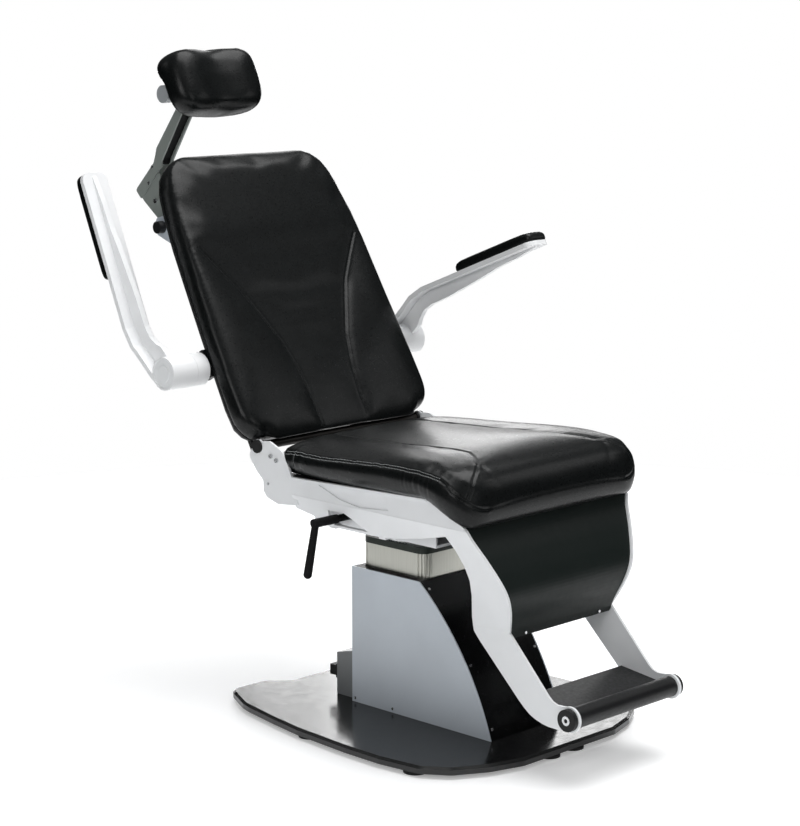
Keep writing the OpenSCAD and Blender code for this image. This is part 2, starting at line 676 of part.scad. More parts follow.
module gas_spring_rod() color(steel) difference() {
    union() {
        translate([spring_x, 0, spring_z]) rod_y(spring_rod_r, spring_rod_in, eye_y - eye_w / 2 + over);
        translate([spring_x - eye_t / 2, eye_y - eye_w / 2, spring_z - eye_h / 2])
            cube([eye_t, eye_w, eye_h]);
    }
    translate([0, eye_y, spring_z]) plate_x(rounded(
        [[pin_r + eye_play_y, -pin_r - eye_play_z], [pin_r + eye_play_y, pin_r + eye_play_z],
        [-pin_r - eye_play_y, pin_r + eye_play_z], [-pin_r - eye_play_y, -pin_r - eye_play_z]],
        pin_r, 4), spring_x - eye_t, 2 * eye_t);
}

// Recline shaft between the ears of the side plates
ear_face = frame_half - ear_in;
recline_cap_r = 15;
recline_cap_t = 5;
module recline_shaft() color(steel) at_yz(recline_y, recline_z)
    rod_x(recline_r, -ear_face, ear_face);
module recline_caps() color(black) both() at_yz(recline_y, recline_z)
    rod_x(recline_cap_r, ear_face, ear_face + recline_cap_t);

// Backrest: drawn upright about the recline pivot, with depth along Y
module on_back() { translate([0, recline_y, recline_z]) rotate([-back_tilt, 0, 0]) children(); }
back_foot = 13;
board_y = 17.7;
board_t = 6;
board_in = 32;
bar_t = 10;
bars_y = board_y + board_t;
bars_back = bars_y + bar_t;
bracket_t = 6.5;
bracket_gap = 2.5;
bracket_out = frame_half - ear_in - plate_t - bracket_gap;
bracket_r = 12.7;
bracket_up = 120;
bracket_back = 36;
rib_half = 184;
upright_x = 142;
upright_w = 40;
low_bar_at = 10;
low_bar_h = 45;
mid_bar_at = 172;
mid_bar_h = 66;
top_bar_at = 473;
top_bar_h = 45;
axle_up = 217.2;
axle_back = 51.85;
axle_r = 14;
saddle_t = 17.5;
saddle_over = 43.5;
saddle_out = bracket_out + saddle_over;
saddle_in = saddle_out - saddle_t;
saddle_r = 30;
saddle_half = 32;
lever_gap_half = 8.5;
lever_t = 6;
lever_eye_r = 13;
lever_up = 60;
spring_turn = back_tilt + mid_turn;
eye_back = lever_len * sin(spring_turn);
eye_up = -lever_len * cos(spring_turn);
plate_bar_at = 237;
function corner_in(d, r) = d >= r ? 0 : r - sqrt(r * r - (r - d) * (r - d));
back_top_r = 78;
back_low_r = 64;
taper_shares = [[0, 0], [0.15, 0.01], [0.25, 0.05], [0.4, 0.17], [0.5, 0.26], [0.6, 0.355],
    [0.75, 0.51], [0.84, 0.72], [0.915, 0.93], [1, 1.15]];
function back_half_at(s) = back_half - back_taper * lookup(s / back_l, taper_shares)
    - corner_in(s, back_low_r) - corner_in(back_l - s, back_top_r);
board_shares = [0, 0.01, 0.03, 0.06, 0.12, 0.25, 0.4, 0.6, 0.75, 0.88, 0.93, 0.965, 0.985, 1];
function back_outline(inset, up) = two_sided([for (b = board_shares)
    let (s = inset + b * (back_l - 2 * inset)) [back_half_at(s) - inset, s + up]]);
module backrest_board() color(black) on_back() difference() {
    plate_y(back_outline(board_in, back_foot), board_y, board_t);
}
module backrest_frame() color(satin_black) on_back() difference() {
    union() {
        for (b = [[low_bar_at, low_bar_h, bracket_out - over], [mid_bar_at, mid_bar_h, saddle_out],
            [top_bar_at, top_bar_h, rib_half]])
            translate([-b[2], bars_y, back_foot + b[0]]) cube([2 * b[2], bar_t, b[1]]);
        both() {
            translate([upright_x, bars_y, back_foot + low_bar_at])
                cube([upright_w, bar_t, top_bar_at + top_bar_h - low_bar_at]);
            rod_x(bracket_r, bracket_out - bracket_t, bracket_out);
            plate_x([[0, -bracket_r], [bracket_back, -bracket_r], [bars_back, bracket_up],
                [bars_y + over, bracket_up], [bars_y + over, bracket_r], [0, bracket_r]],
                bracket_out - bracket_t, bracket_t);
        }
        translate([-upright_w, bars_y, back_foot + plate_bar_at - over])
            cube([2 * upright_w, bar_t, top_bar_at - plate_bar_at + 2 * over]);
        for (s = [-1, 1]) translate([spring_x + s * lever_gap_half - (s < 0 ? lever_t : 0), 0, 0])
            hull() {
                at_yz(eye_back, eye_up) rod_x(lever_eye_r, 0, lever_t);
                translate([0, bars_y, back_foot]) cube([lever_t, bar_t, lever_up]);
            }
        at_yz(eye_back, eye_up) rod_x(pin_r, spring_x - lever_gap_half - lever_t,
            spring_x + lever_gap_half + lever_t);
    }
    rod_x(recline_r + fit, -frame_half, frame_half);
}
cover_wall = 2.5;
cover_depth_shares = [[0, 1], [0.1, 1], [0.2, 0.78], [0.77, 0.78], [1, 0.6]];
cover_deep = 24.5;
cover_in = 8;
cover_ends = [0, 0.006, 0.02, 0.05, 0.12, 0.25, 0.4, 0.55, 0.7, 0.82, 0.9, 0.95, 0.98, 0.994, 1];
cover_end_depth = [0.25, 0.6, 0.82, 0.95, 1, 1, 1, 1, 1, 1, 1, 0.95, 0.82, 0.6, 0.25];
cover_ring_shares = [[0, 0], [1, 0], [1, 0.3], [0.985, 0.65], [0.94, 0.9], [0.86, 0.98], [0.5, 1], [0, 1]];
function cover_ring(i, inset, wall) =
    let (s = cover_in + inset + cover_ends[i] * (back_l - 2 * (cover_in + inset)),
         w = back_half_at(s) - cover_in - inset,
         d = max(over, cover_deep * lookup(s / back_l, cover_depth_shares) * cover_end_depth[i] - wall),
         front = board_y - (wall > 0 ? over : 0),
         right = [for (p = cover_ring_shares)
            [p.x * w, p.y == 0 ? front : board_y + p.y * d, s + back_foot]],
         n = len(right))
    concat(right, [for (j = [n - 2:-1:1]) [-right[j].x, right[j].y, right[j].z]]);
module loft(rings) {
    n = len(rings[0]);
    m = len(rings);
    first = [for (k = [0:2]) [for (p = rings[0]) p[k]] * [for (p = rings[0]) 1] / n];
    last = [for (k = [0:2]) [for (p = rings[m - 1]) p[k]] * [for (p = rings[0]) 1] / n];
    polyhedron(points = concat([for (r = rings) each r], [first, last]), faces = concat(
        [for (i = [0:m - 2], j = [0:n - 1]) let (k = (j + 1) % n) each
            [[i * n + k, i * n + j, (i + 1) * n + k], [(i + 1) * n + k, i * n + j, (i + 1) * n + j]]],
        [for (j = [0:n - 1]) [j, (j + 1) % n, m * n]],
        [for (j = [0:n - 1]) [(m - 1) * n + (j + 1) % n, (m - 1) * n + j, m * n + 1]]));
}
module backrest_rear_cover() color(black) on_back() difference() {
    loft([for (i = [0:len(cover_ends) - 1]) cover_ring(i, 0, 0)]);
    loft([for (i = [0:len(cover_ends) - 1]) cover_ring(i, cover_wall, cover_wall)]);
    translate([-saddle_out - over, bars_y - over, back_foot + mid_bar_at - gap])
        cube([2 * (saddle_out + over), bar_t + over + gap, mid_bar_h + 2 * gap]);
    translate([-bracket_out - over, bars_y - over, back_foot])
        cube([2 * (bracket_out + over), bracket_back - bars_y + over + gap, low_bar_at + low_bar_h + gap]);
    translate([-foot_plate_half - gap, bars_back - over, arm_foot_at - gap])
        cube([2 * (foot_plate_half + gap), cover_deep, arm_foot_h + 2 * gap]);
    translate([spring_x - lever_gap_half - lever_t - gap, bars_y - over, 0])
        cube([2 * (lever_gap_half + lever_t + gap), cover_deep + 2 * over, back_foot + lever_up + gap]);
}

// Backrest cushion
cushion_y = board_y - gap - back_t;
back_at_shares = [0, 0.004, 0.012, 0.026, 0.046, 0.075, 0.115, 0.17, 0.235, 0.3, 0.365, 0.43, 0.495,
    0.56, 0.625, 0.69, 0.75, 0.81, 0.86, 0.9, 0.935, 0.96, 0.978, 0.99, 0.997, 1];
back_thin_shares = [0.5, 0.7, 0.86, 0.96, 1, 1, 1, 1, 1, 1, 1, 1, 1,
    1, 1, 1, 0.99, 0.98, 0.98, 0.975, 0.97, 0.96, 0.93, 0.86, 0.72, 0.52];
seam_shares = [[0, 0.27], [0.1, 0.27], [0.2, 0.29], [0.31, 0.36], [0.42, 0.49], [0.51, 0.62],
    [0.6, 0.78], [0.68, 0.86], [1, 0.86]];
seam_deep_shares = [[0, 0.3], [0.03, 1], [0.5, 1], [0.62, 0.7], [0.7, 0], [1, 0]];
dish = 9;
groove = 4;
seam_half = 7;
function back_ring(i) =
    let (s = back_at_shares[i] * back_l, w = back_half_at(s), t = back_t * back_thin_shares[i],
         x = w * lookup(s / back_l, seam_shares), deep = lookup(s / back_l, seam_deep_shares),
         end = back_thin_shares[i] > 0.9 ? 1 : back_thin_shares[i] * back_thin_shares[i],
         d = dish * deep * end, g = groove * deep * end, out = w - x,
         right = [[0, d], [0.35 * x, d], [0.75 * x, d], [x - seam_half, d + 0.3 * g], [x, d + g],
            [x + 0.35 * out * min(1, 3 * seam_half / out), 0.4 * d], [x + 0.45 * out, 0.2 * d],
            [x + 0.7 * out, 0], [x + 0.86 * out, 0.02 * t], [x + 0.95 * out, 0.1 * t],
            [w, 0.28 * t], [w, 0.45 * t], [w, 0.65 * t], [0.997 * w, 0.84 * t],
            [0.985 * w, 0.95 * t], [0.96 * w, t], [0.45 * w, t], [0, t]],
         n = len(right))
    [for (p = concat(right, [for (j = [n - 2:-1:1]) [-right[j].x, right[j].y]]))
        [p.x, cushion_y + back_t - t + p.y, s + back_foot]];
module backrest_cushion() color(black) on_back()
    loft([for (i = [0:len(back_at_shares) - 1]) back_ring(i)]);

// Seat cushion
wall_front_at = (seat_rear - wall_front) / seat_l;
wall_step_at = (seat_rear - leg_y - wall_shares[0].x * leg_h) / seat_l;
seat_at_shares = [0, 0.01, 0.03, 0.06, 0.084, 0.1, 0.16, 0.24, 0.325, 0.41, 0.5, 0.58, 0.65, 0.72,
    wall_front_at, wall_step_at, 0.828, 0.871, 0.91, 0.943, 0.969, 0.986, 0.996, 1];
seat_half_shares = [0.78, 0.82, 0.85, 0.868, 0.876, 0.91, 0.945, 0.962, 0.975, 0.988, 1, 1.008,
    1.015, 1.02, 1.024, 1.027, 1.03, 1.028, 1.01, 0.98, 0.935, 0.88, 0.82, 0.76];
seat_side_shares = [0.7, 0.84, 0.93, 0.97, 0.97, 0.96, 0.94, 0.95, 0.97, 1, 1.03, 1.06, 1.06, 1.03,
    0.97, 0.93, 0.8, 0.65, 0.5, 0.28, 0.06, -0.16, -0.3, -0.36];
seat_crown_shares = [0.3, 0.55, 0.8, 0.95, 1, 1.02, 1.05, 1.08, 1.05, 1, 0.98, 1, 1.05, 1.15,
    1.26, 1.33, 1.5, 1.66, 1.76, 1.86, 1.8, 1.56, 1.2, 0.8];
seat_low_shares = [[-0.116, 0.145], [-0.102, 0.08], [-0.071, 0.035], [-0.018, 0.014], [0.027, 0.03],
    [0.227, 0.132], [0.444, 0.22]];
seat_rise_shares = [0.25, 0.1, 0.02, 0];
seat_seam_shares = [[0, 0.48], [0.6, 0.49], [0.8, 0.53], [0.9, 0.67], [1, 0.7]];
function seat_low(y) = y > wall_front ? deck(y) + gap
    : lookup(y, concat([for (p = seat_low_shares) [leg_y + p.x * leg_h, bend_z + p.y * leg_h + gap]],
        [[wall_front, deck(wall_front) + gap]]));
function seat_ring(i) =
    let (y = seat_rear - seat_at_shares[i] * seat_l, w = seat_half * seat_half_shares[i],
         rise = i < len(seat_rise_shares) ? seat_rise_shares[i] * seat_side_h : 0,
         low = seat_low(y) + rise, mid = deck(y) + seat_side_h * seat_side_shares[i],
         c = seat_crown * seat_crown_shares[i], h = mid - low,
         x = w * lookup(seat_at_shares[i], seat_seam_shares), out = w - x,
         g = i < 2 || i > len(seat_at_shares) - 4 ? 0.3 * groove : groove,
         right = [[0, low], [0.4 * w, low], [0.75 * w, low], [0.905 * w, low],
            [0.935 * w, low + 0.05 * h], [0.96 * w, low + 0.2 * h], [0.985 * w, low + 0.45 * h],
            [w, low + 0.7 * h], [w, low + 0.9 * h], [w - 0.7 * g, mid], [0.995 * w, mid + 0.1 * c],
            [0.975 * w, mid + 0.34 * c], [0.935 * w, mid + 0.58 * c], [x + 0.7 * out, mid + 0.8 * c],
            [x + 0.4 * out, mid + 0.95 * c], [x + seam_half, mid + c], [x, mid + c - g],
            [x - seam_half, mid + c], [0.45 * x, mid + 1.03 * c], [0, mid + 1.03 * c]],
         n = len(right))
    [for (p = concat(right, [for (j = [n - 2:-1:1]) [-right[j].x, right[j].y]])) [p.x, y, p.y]];
module seat_cushion() color(black)
    loft([for (i = [0:len(seat_at_shares) - 1]) seat_ring(i)]);

// Armrests
spacer_gap = 0.5;
hub_in = saddle_out + gap + spacer_l + spacer_gap;
arm_half = hub_in + arm_w;
axle_bush = 20;
cap_in = 4;
cap_t2 = 5;
cap_sunk = 1;
cap_boss = 2;
arm_skin = 11;
keel_t = 14;
arm_tip_r = 20;
arm_top_shares = [[-0.05, 0.282], [0.014, 0.494], [0.095, 0.691], [0.174, 0.904], [0.265, 0.999], [1, 1]];
arm_keel_shares = [[0.98, 0.872], [0.863, 0.792], [0.729, 0.76], [0.588, 0.664], [0.374, 0.558],
    [0.248, 0.537], [0.192, 0.473], [0.152, 0.324], [0.127, 0.17], [0.06, 0]];
arm_top = [for (p = arm_top_shares) [-p.x * arm_reach, p.y * arm_rise]];
module on_axle() { on_back() at_yz(axle_back, axle_up) children(); }
module arm_axle() color(steel) on_axle() rod_x(axle_r, -arm_half + 2 * cap_t2, arm_half - 2 * cap_t2);
module arm_saddles() color(black) on_back() both() difference() {
    union() {
        at_yz(axle_back, axle_up) rod_x(saddle_r, saddle_in, saddle_out);
        translate([saddle_in, bars_back, axle_up - saddle_half + over])
            cube([saddle_out - saddle_in, axle_back - bars_back, 2 * saddle_half - 2 * over]);
    }
    at_yz(axle_back, axle_up) rod_x(axle_r + fit, saddle_in - over, saddle_out + over);
    translate([0, bars_back - cover_deep, axle_up - 2 * saddle_r])
        cube([2 * saddle_out, cover_deep, 4 * saddle_r]);
}
module arm_spacers() color(white) on_axle() both() difference() {
    rod_x(hub_r, saddle_out + gap, hub_in - spacer_gap);
    rod_x(axle_r + fit, saddle_out, hub_in);
}
module arm(turn) color(white) on_axle() rotate([back_tilt - turn, 0, 0]) difference() {
    union() {
        rod_x(hub_r, hub_in, arm_half);
        plate_x(concat(arm_top, [for (i = [len(arm_top) - 1:-1:0])
            i == len(arm_top) - 1 ? [-arm_reach, arm_rise - arm_skin] :
            let (a = unit(arm_top[i + 1] - arm_top[i])) arm_top[i] + [-a.y, a.x] * arm_skin]),
            hub_in, arm_w);
        plate_x(concat([for (p = arm_top) p + [0, -over]],
            [for (p = arm_keel_shares) [-p.x * arm_reach, p.y * arm_rise]]),
            arm_half - (arm_w + keel_t) / 2, keel_t);
    }
    rod_x(axle_r + fit, hub_in - over, arm_half - cap_t2 - 2 * over);
    rod_x(hub_r - cap_in, arm_half - cap_t2, arm_half + over);
    for (s = [0, 1]) translate([hub_in + s * arm_w, 0, 0]) mirror([s, 0, 0])
        translate([0, -arm_reach, 0]) linear_extrude(3 * arm_reach) difference() {
            translate([-over, -over]) square(arm_tip_r + over);
            translate([arm_tip_r, arm_tip_r]) circle(r = arm_tip_r);
        }
}
module arm_cap(turn) color(steel) on_axle() rotate([back_tilt - turn, 0, 0]) {
    rod_x(hub_r - cap_in - gap / 3, arm_half - cap_t2, arm_half - cap_sunk);
    rod_x(hub_r / 2, arm_half - cap_boss, arm_half);
}
pad_at_shares = [0, 0.008, 0.03, 0.08, 0.2, 0.4, 0.6, 0.8, 0.92, 0.97, 0.992, 1];
pad_high_shares = [0.35, 0.68, 0.88, 0.98, 1, 1, 1, 1, 0.97, 0.88, 0.66, 0.35];
pad_wide_shares = [0.9, 0.95, 0.98, 1, 1, 1, 1, 1, 0.99, 0.94, 0.84, 0.72];
pad_ring_shares = [[0, 0], [0.6, 0], [0.9, 0], [0.97, 0.06], [1, 0.25], [1, 0.5], [0.985, 0.72],
    [0.93, 0.88], [0.8, 0.97], [0.5, 1.02], [0, 1.04]];
pad_l = 250;
pad_half_share = 0.475;
function pad_ring(i) =
    let (y = -arm_reach + pad_l - pad_at_shares[i] * (pad_l - over),
         w = pad_half_share * arm_w * pad_wide_shares[i],
         h = pad_t * pad_high_shares[i], n = len(pad_ring_shares),
         right = [for (p = pad_ring_shares) [p.x * w, y, arm_rise + gap + p.y * h]])
    concat(right, [for (j = [n - 2:-1:1]) [-right[j].x, right[j].y, right[j].z]]);
module arm_pad(turn) color(black) on_axle() rotate([back_tilt - turn, 0, 0])
    translate([arm_half - arm_w / 2, 0, 0]) loft([for (i = [0:len(pad_at_shares) - 1]) pad_ring(i)]);

// Headrest: swing arm, link, stem and cushion
module on_swing() { on_back() at_yz(swing_out, swing_up) children(); }
arm_foot_drop = 380;
arm_foot_at = swing_up - arm_foot_drop;
arm_foot_h = 70;
foot_plate_half = 36;
foot_plate_t = 12;
arm_plate_t = 5;
arm_plate_in = 21.5;
swing_arm_pts = [[7.6, 28.7], [30.6, 13.1], [26.1, -9.1], [-19.8, -63.5], [-255, -349.5],
    [-255, -318], [-215.2, -250], [-60, -60], [-27.4, 8], [-18, 22]];
arm_web_pts = [[-19.8, -63.5], [-255, -349.5], [-255, -341.5], [-23, -61]];
swing_arm_rounds = [10, 10, 8, 30, 0, 0, 20, 40, 12, 8];
swing_r = 15;
module headrest_arm() color(panel_grey) {
    on_swing() difference() {
        union() {
            both() plate_x(rounded(swing_arm_pts, swing_arm_rounds, 3),
                arm_plate_in, arm_plate_t);
            plate_x(arm_web_pts, -arm_plate_in - over, 2 * (arm_plate_in + over));
        }
        rod_x(pin_r + fit, -foot_plate_half, foot_plate_half);
    }
    on_back() translate([-foot_plate_half, bars_back, arm_foot_at])
        cube([2 * foot_plate_half, foot_plate_t, arm_foot_h]);
}
swing_knob_x = 45;
module headrest_swing_pin() color(black) on_swing() {
    rod_x(pin_r, -arm_plate_in - arm_plate_t - over, arm_plate_in + arm_plate_t + over);
    both() rod_x(swing_r, arm_plate_in + arm_plate_t + gap, swing_knob_x);
}
link_pts = [[-44, 138], [-46.5, 92.1], [-28.8, 59.6], [-12, 20], [-12, -12], [12, -12],
    [14, 25], [41.9, 91.3], [46, 112]];
link_rounds = [8, 8, 20, 10, 10, 10, 20, 6, 6];
link_out = 15.5;
link_tie = [-6, 112];
link_tie_r = 9;
link_t = 4.5;
link_hub_r = 12;
module headrest_link() color(link_grey) on_swing() difference() {
    union() {
        both() plate_x(rounded(link_pts, link_rounds, 3), link_out - link_t, link_t);
        rod_x(link_hub_r, -arm_plate_in + over, arm_plate_in - over);
        at_yz(link_tie.x, link_tie.y) rod_x(link_tie_r, -link_out + over, link_out - over);
    }
    rod_x(pin_r + fit, -foot_plate_half, foot_plate_half);
}
tilt_back = -254.9;
tilt_up = 230.3;
stem_pts = [[-222, 216], [-262, 214], [-270, 226], [-262, 244], [-246, 246], [-187.8, 224],
    [-73.3, 178], [-60, 165], [-44, 152], [51.3, 126.8], [43.8, 95.9], [-51.4, 128.6],
    [-66.3, 130.3], [-73.3, 142.4]];
stem_rounds = [12, 8, 8, 8, 8, 20, 12, 10, 14, 8, 8, 14, 6, 10];
stem_t = 4.5;
stem_cover_round = 5;
module headrest_stem() color(link_grey) on_swing() difference() {
    both() plate_x(rounded(stem_pts, stem_rounds, 3),
        stem_w / 2 - stem_t, stem_t);
    at_yz(tilt_back, tilt_up) rod_x(pin_r + fit, -stem_w, stem_w);
}
stem_cover_pts = [[-219, 220], [-195, 220], [-80, 172], [-66, 160], [-52, 148], [-54, 140],
    [-62, 142], [-70, 150]];
module headrest_stem_cover() color(black) on_swing()
    plate_x(rounded(stem_cover_pts, stem_cover_round, 3), -stem_w / 2 + stem_t, stem_w - 2 * stem_t);
head_screw_pts = [[-35.9, 145.6], [-3.7, 118]];
link_bolt = [0.5, 70.8];
head_screw_r = 4;
link_bolt_r = 6;
link_bolt_h = 4;
module headrest_screws() color(steel) on_swing() both() {
    for (p = head_screw_pts) at_yz(p.x, p.y)
        rod_x(head_screw_r, stem_w / 2, stem_w / 2 + screw_h);
    at_yz(link_bolt.x, link_bolt.y) rod_x(link_bolt_r, link_out, link_out + link_bolt_h);
}
head_rod_half = 107;
knob_in = 88;
knob_r = 21;
knob_end = 4;
module on_tilt() { on_swing() at_yz(tilt_back, tilt_up) children(); }
module headrest_rod() color(steel) on_tilt()
    rod_x(pin_r, -head_rod_half + knob_end, head_rod_half - knob_end);
module headrest_knobs() color(steel) on_tilt() both() difference() {
    rod_x(knob_r, knob_in, head_rod_half);
    rod_x(pin_r + fit, knob_in - over, head_rod_half - knob_end);
}
head_turn = 10;
head_plate_t = 6;
head_gap = 17;
head_plate_half = 84;
head_plate_low = -52;
head_plate_top = 13;
head_plate_round = 14;
lug_in = 74;
lug_t = 8;
module on_head() { on_tilt() rotate([head_turn, 0, 0]) children(); }
module headrest_backplate() color(black) on_head() difference() {
    union() {
        plate_y(rounded([[head_plate_half, head_plate_low], [head_plate_half, head_plate_top],
            [-head_plate_half, head_plate_top], [-head_plate_half, head_plate_low]],
            head_plate_round, 4),
            -head_gap - head_plate_t, head_plate_t);
        both() {
            translate([lug_in, -head_gap - over, -lug_t * 1.5]) cube([lug_t, head_gap + over, 3 * lug_t]);
            rod_x(lug_t * 1.5, lug_in, lug_in + lug_t);
        }
    }
    rod_x(pin_r + fit, -head_rod_half, head_rod_half);
}
head_at_shares = [0, 0.02, 0.07, 0.16, 0.28, 0.4, 0.5, 0.55, 0.62, 0.72, 0.84, 0.93, 0.98, 1];
head_thin_shares = [0.4, 0.66, 0.86, 0.97, 1, 1, 1, 1, 1, 1, 0.97, 0.87, 0.7, 0.45];
head_wide_shares = [0.66, 0.76, 0.86, 0.94, 0.98, 1, 1, 1, 1, 1, 0.985, 0.93, 0.84, 0.74];
head_rear_shares = [0, 0, 0, 0, 0, 0, 0, 0, 0.4, 0.8, 1, 0.95, 0.75, 0.5];
head_ring_shares = [[0, 0.2], [0.12, 0.19], [0.26, 0.15], [0.42, 0.08], [0.58, 0.02], [0.72, 0],
    [0.85, 0.05], [0.94, 0.17], [0.99, 0.34], [1, 0.52], [0.98, 0.7], [0.92, 0.86], [0.82, 0.96],
    [0.68, 1], [0.35, 1], [0, 1]];
head_dip = 5;
head_up = 6;
head_rear = 21;
function head_ring(i) =
    let (z = (head_at_shares[i] - 0.5) * head_h + head_up, w = head_half * head_wide_shares[i],
         t = head_t * head_thin_shares[i], n = len(head_ring_shares),
         depth = t + head_rear * head_rear_shares[i],
         edge = abs(head_at_shares[i] - 0.5) > 0.3 ? 1 : 0,
         right = [for (p = head_ring_shares)
            let (sunk = edge * head_dip * max(0, 1 - p.x / 0.5) * sign(head_at_shares[i] - 0.5))
            [p.x * w, -head_gap - head_plate_t - gap - head_t + (head_t - t) / 2 + p.y * depth, z - sunk]])
    concat(right, [for (j = [n - 2:-1:1]) [-right[j].x, right[j].y, right[j].z]]);
module headrest_cushion() color(black) on_head() difference() {
    loft([for (i = [0:len(head_at_shares) - 1]) head_ring(i)]);
}

base_plate();
base_feet();
pedestal_side(-1);  // pedestal_side_right
pedestal_side(1);  // pedestal_side_left
pedestal_back_cover();
pedestal_top_cover();
pedestal_front_cover();
pedestal_screws();
power_box();
power_inlet();
column_mast();
column_glides();
lift_actuator();
column_profile();
column_collar();
lift_rod();
swivel_spindle();
swivel_bearing();
swivel_housing();
seat_tray();
seat_rails();
side_frame(-1);  // side_frame_right
side_frame(1);  // side_frame_left
seat_pan();
calf_panel();
footplate();
foot_bar();
foot_bar_caps();
frame_screws();
clamp_lever();
clamp_stud();
gas_spring();
gas_spring_rod();
recline_shaft();
recline_caps();
backrest_frame();
backrest_board();
backrest_rear_cover();
backrest_cushion();
seat_cushion();
arm_axle();
arm_saddles();
arm_spacers();
headrest_arm();
headrest_swing_pin();
headrest_link();
headrest_stem();
headrest_stem_cover();
headrest_screws();
headrest_rod();
headrest_backplate();
headrest_cushion();
headrest_knobs();
side(-1) arm(arm_low_angle + arm_swing_angle);  // arm_right
side(-1) arm_pad(arm_low_angle + arm_swing_angle);  // arm_pad_right
side(-1) arm_cap(arm_low_angle + arm_swing_angle);  // arm_cap_right
side(1) arm(arm_low_angle);  // arm_left
side(1) arm_pad(arm_low_angle);  // arm_pad_left
side(1) arm_cap(arm_low_angle);  // arm_cap_left
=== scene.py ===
"""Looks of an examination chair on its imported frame: upholstery, finishes, light and camera."""

import json
import math

import bmesh
import bpy
import numpy as np
from mathutils import Matrix, Vector
from mathutils.bvhtree import BVHTree


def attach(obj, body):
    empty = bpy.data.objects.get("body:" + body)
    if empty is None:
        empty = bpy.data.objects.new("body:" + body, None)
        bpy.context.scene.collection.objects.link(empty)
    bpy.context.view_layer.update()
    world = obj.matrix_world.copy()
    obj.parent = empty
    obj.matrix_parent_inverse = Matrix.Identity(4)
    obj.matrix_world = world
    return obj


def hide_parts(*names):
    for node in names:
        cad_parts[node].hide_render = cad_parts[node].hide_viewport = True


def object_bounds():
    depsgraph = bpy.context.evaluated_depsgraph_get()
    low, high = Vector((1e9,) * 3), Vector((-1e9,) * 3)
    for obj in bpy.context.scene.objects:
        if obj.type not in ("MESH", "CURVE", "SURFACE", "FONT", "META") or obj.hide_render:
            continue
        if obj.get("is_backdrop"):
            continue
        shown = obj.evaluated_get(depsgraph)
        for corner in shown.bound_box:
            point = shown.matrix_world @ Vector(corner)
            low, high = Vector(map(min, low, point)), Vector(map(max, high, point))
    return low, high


MM = 0.001
SIDES = (-1, 1)

# Frame values shared with the part's source, in millimetres and degrees
PIVOT = (0, 262, 613)
BACK_TILT = 30.1
BACK_FOOT = 13
ARM_AXLE = (0, 415.8, 774.9)

# Camera, from the photograph's straight edges: metres, degrees, and millimetres for the lens
CAMERA_AT = (-3.6766, -3.5402, 1.6048)
CAMERA_AZIMUTH = -45.51
CAMERA_ELEVATION = 10.18
CAMERA_LENS = 101.7
CAMERA_SENSOR = 36
CAMERA_CLIP = (0.1, 60)


def note_box(key, sizes={}):
    lo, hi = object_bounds()
    sizes[key] = [list(lo), list(hi)]


with open("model.json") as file:
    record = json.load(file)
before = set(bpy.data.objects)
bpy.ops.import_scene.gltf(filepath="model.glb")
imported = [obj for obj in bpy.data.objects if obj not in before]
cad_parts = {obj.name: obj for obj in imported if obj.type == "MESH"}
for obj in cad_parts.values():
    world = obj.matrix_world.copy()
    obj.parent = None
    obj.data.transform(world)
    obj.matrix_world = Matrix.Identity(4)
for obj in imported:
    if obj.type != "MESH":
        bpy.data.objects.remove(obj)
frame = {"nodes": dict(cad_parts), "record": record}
note_box("cad")


# ---------------------------------------------------------------- materials

# Noise scales, in waves per metre
PAINT_PATCHES, PAINT_SHEEN, PAINT_PEEL = 7, 60, 900
PLASTIC_PATCHES, PLASTIC_SHEEN, PLASTIC_GRAIN = 25, 140, 1400
LEATHER_PATCHES, LEATHER_SHEEN, LEATHER_CREASES = 30, 240, 26
LEATHER_CELLS, LEATHER_PORES = 760, 2600
METAL_STREAKS = 400
FLOOR_PATCHES, FLOOR_SHEEN = 2, 5

# Most of a noise's values lie between these
NOISE_LOW, NOISE_HIGH = 0.3, 0.7

# Share by which each finish's colour varies
PAINT_TONES, CAP_TONES, PLASTIC_TONES = 0.035, 0.03, 0.12
METAL_TONES, LEATHER_TONES, FLOOR_TONES = 0.08, 0.18, 0.01

# Rounding of the edges, in millimetres
PAINT_EDGE, METAL_EDGE = 0.8, 0.5
BEVEL_SAMPLES = 4

# Depths of the leather's relief and of the cap's rings, in millimetres
LEATHER_CREASE, LEATHER_GRAIN, LEATHER_PORE = 0.12, 0.04, 0.01
GRAIN_STRENGTH = 0.8
RING_DEPTH = 0.05
RING_SCALE = 1 / 0.044

# Faces that meet at more degrees than this keep their edge
SHARP_ANGLE = 28


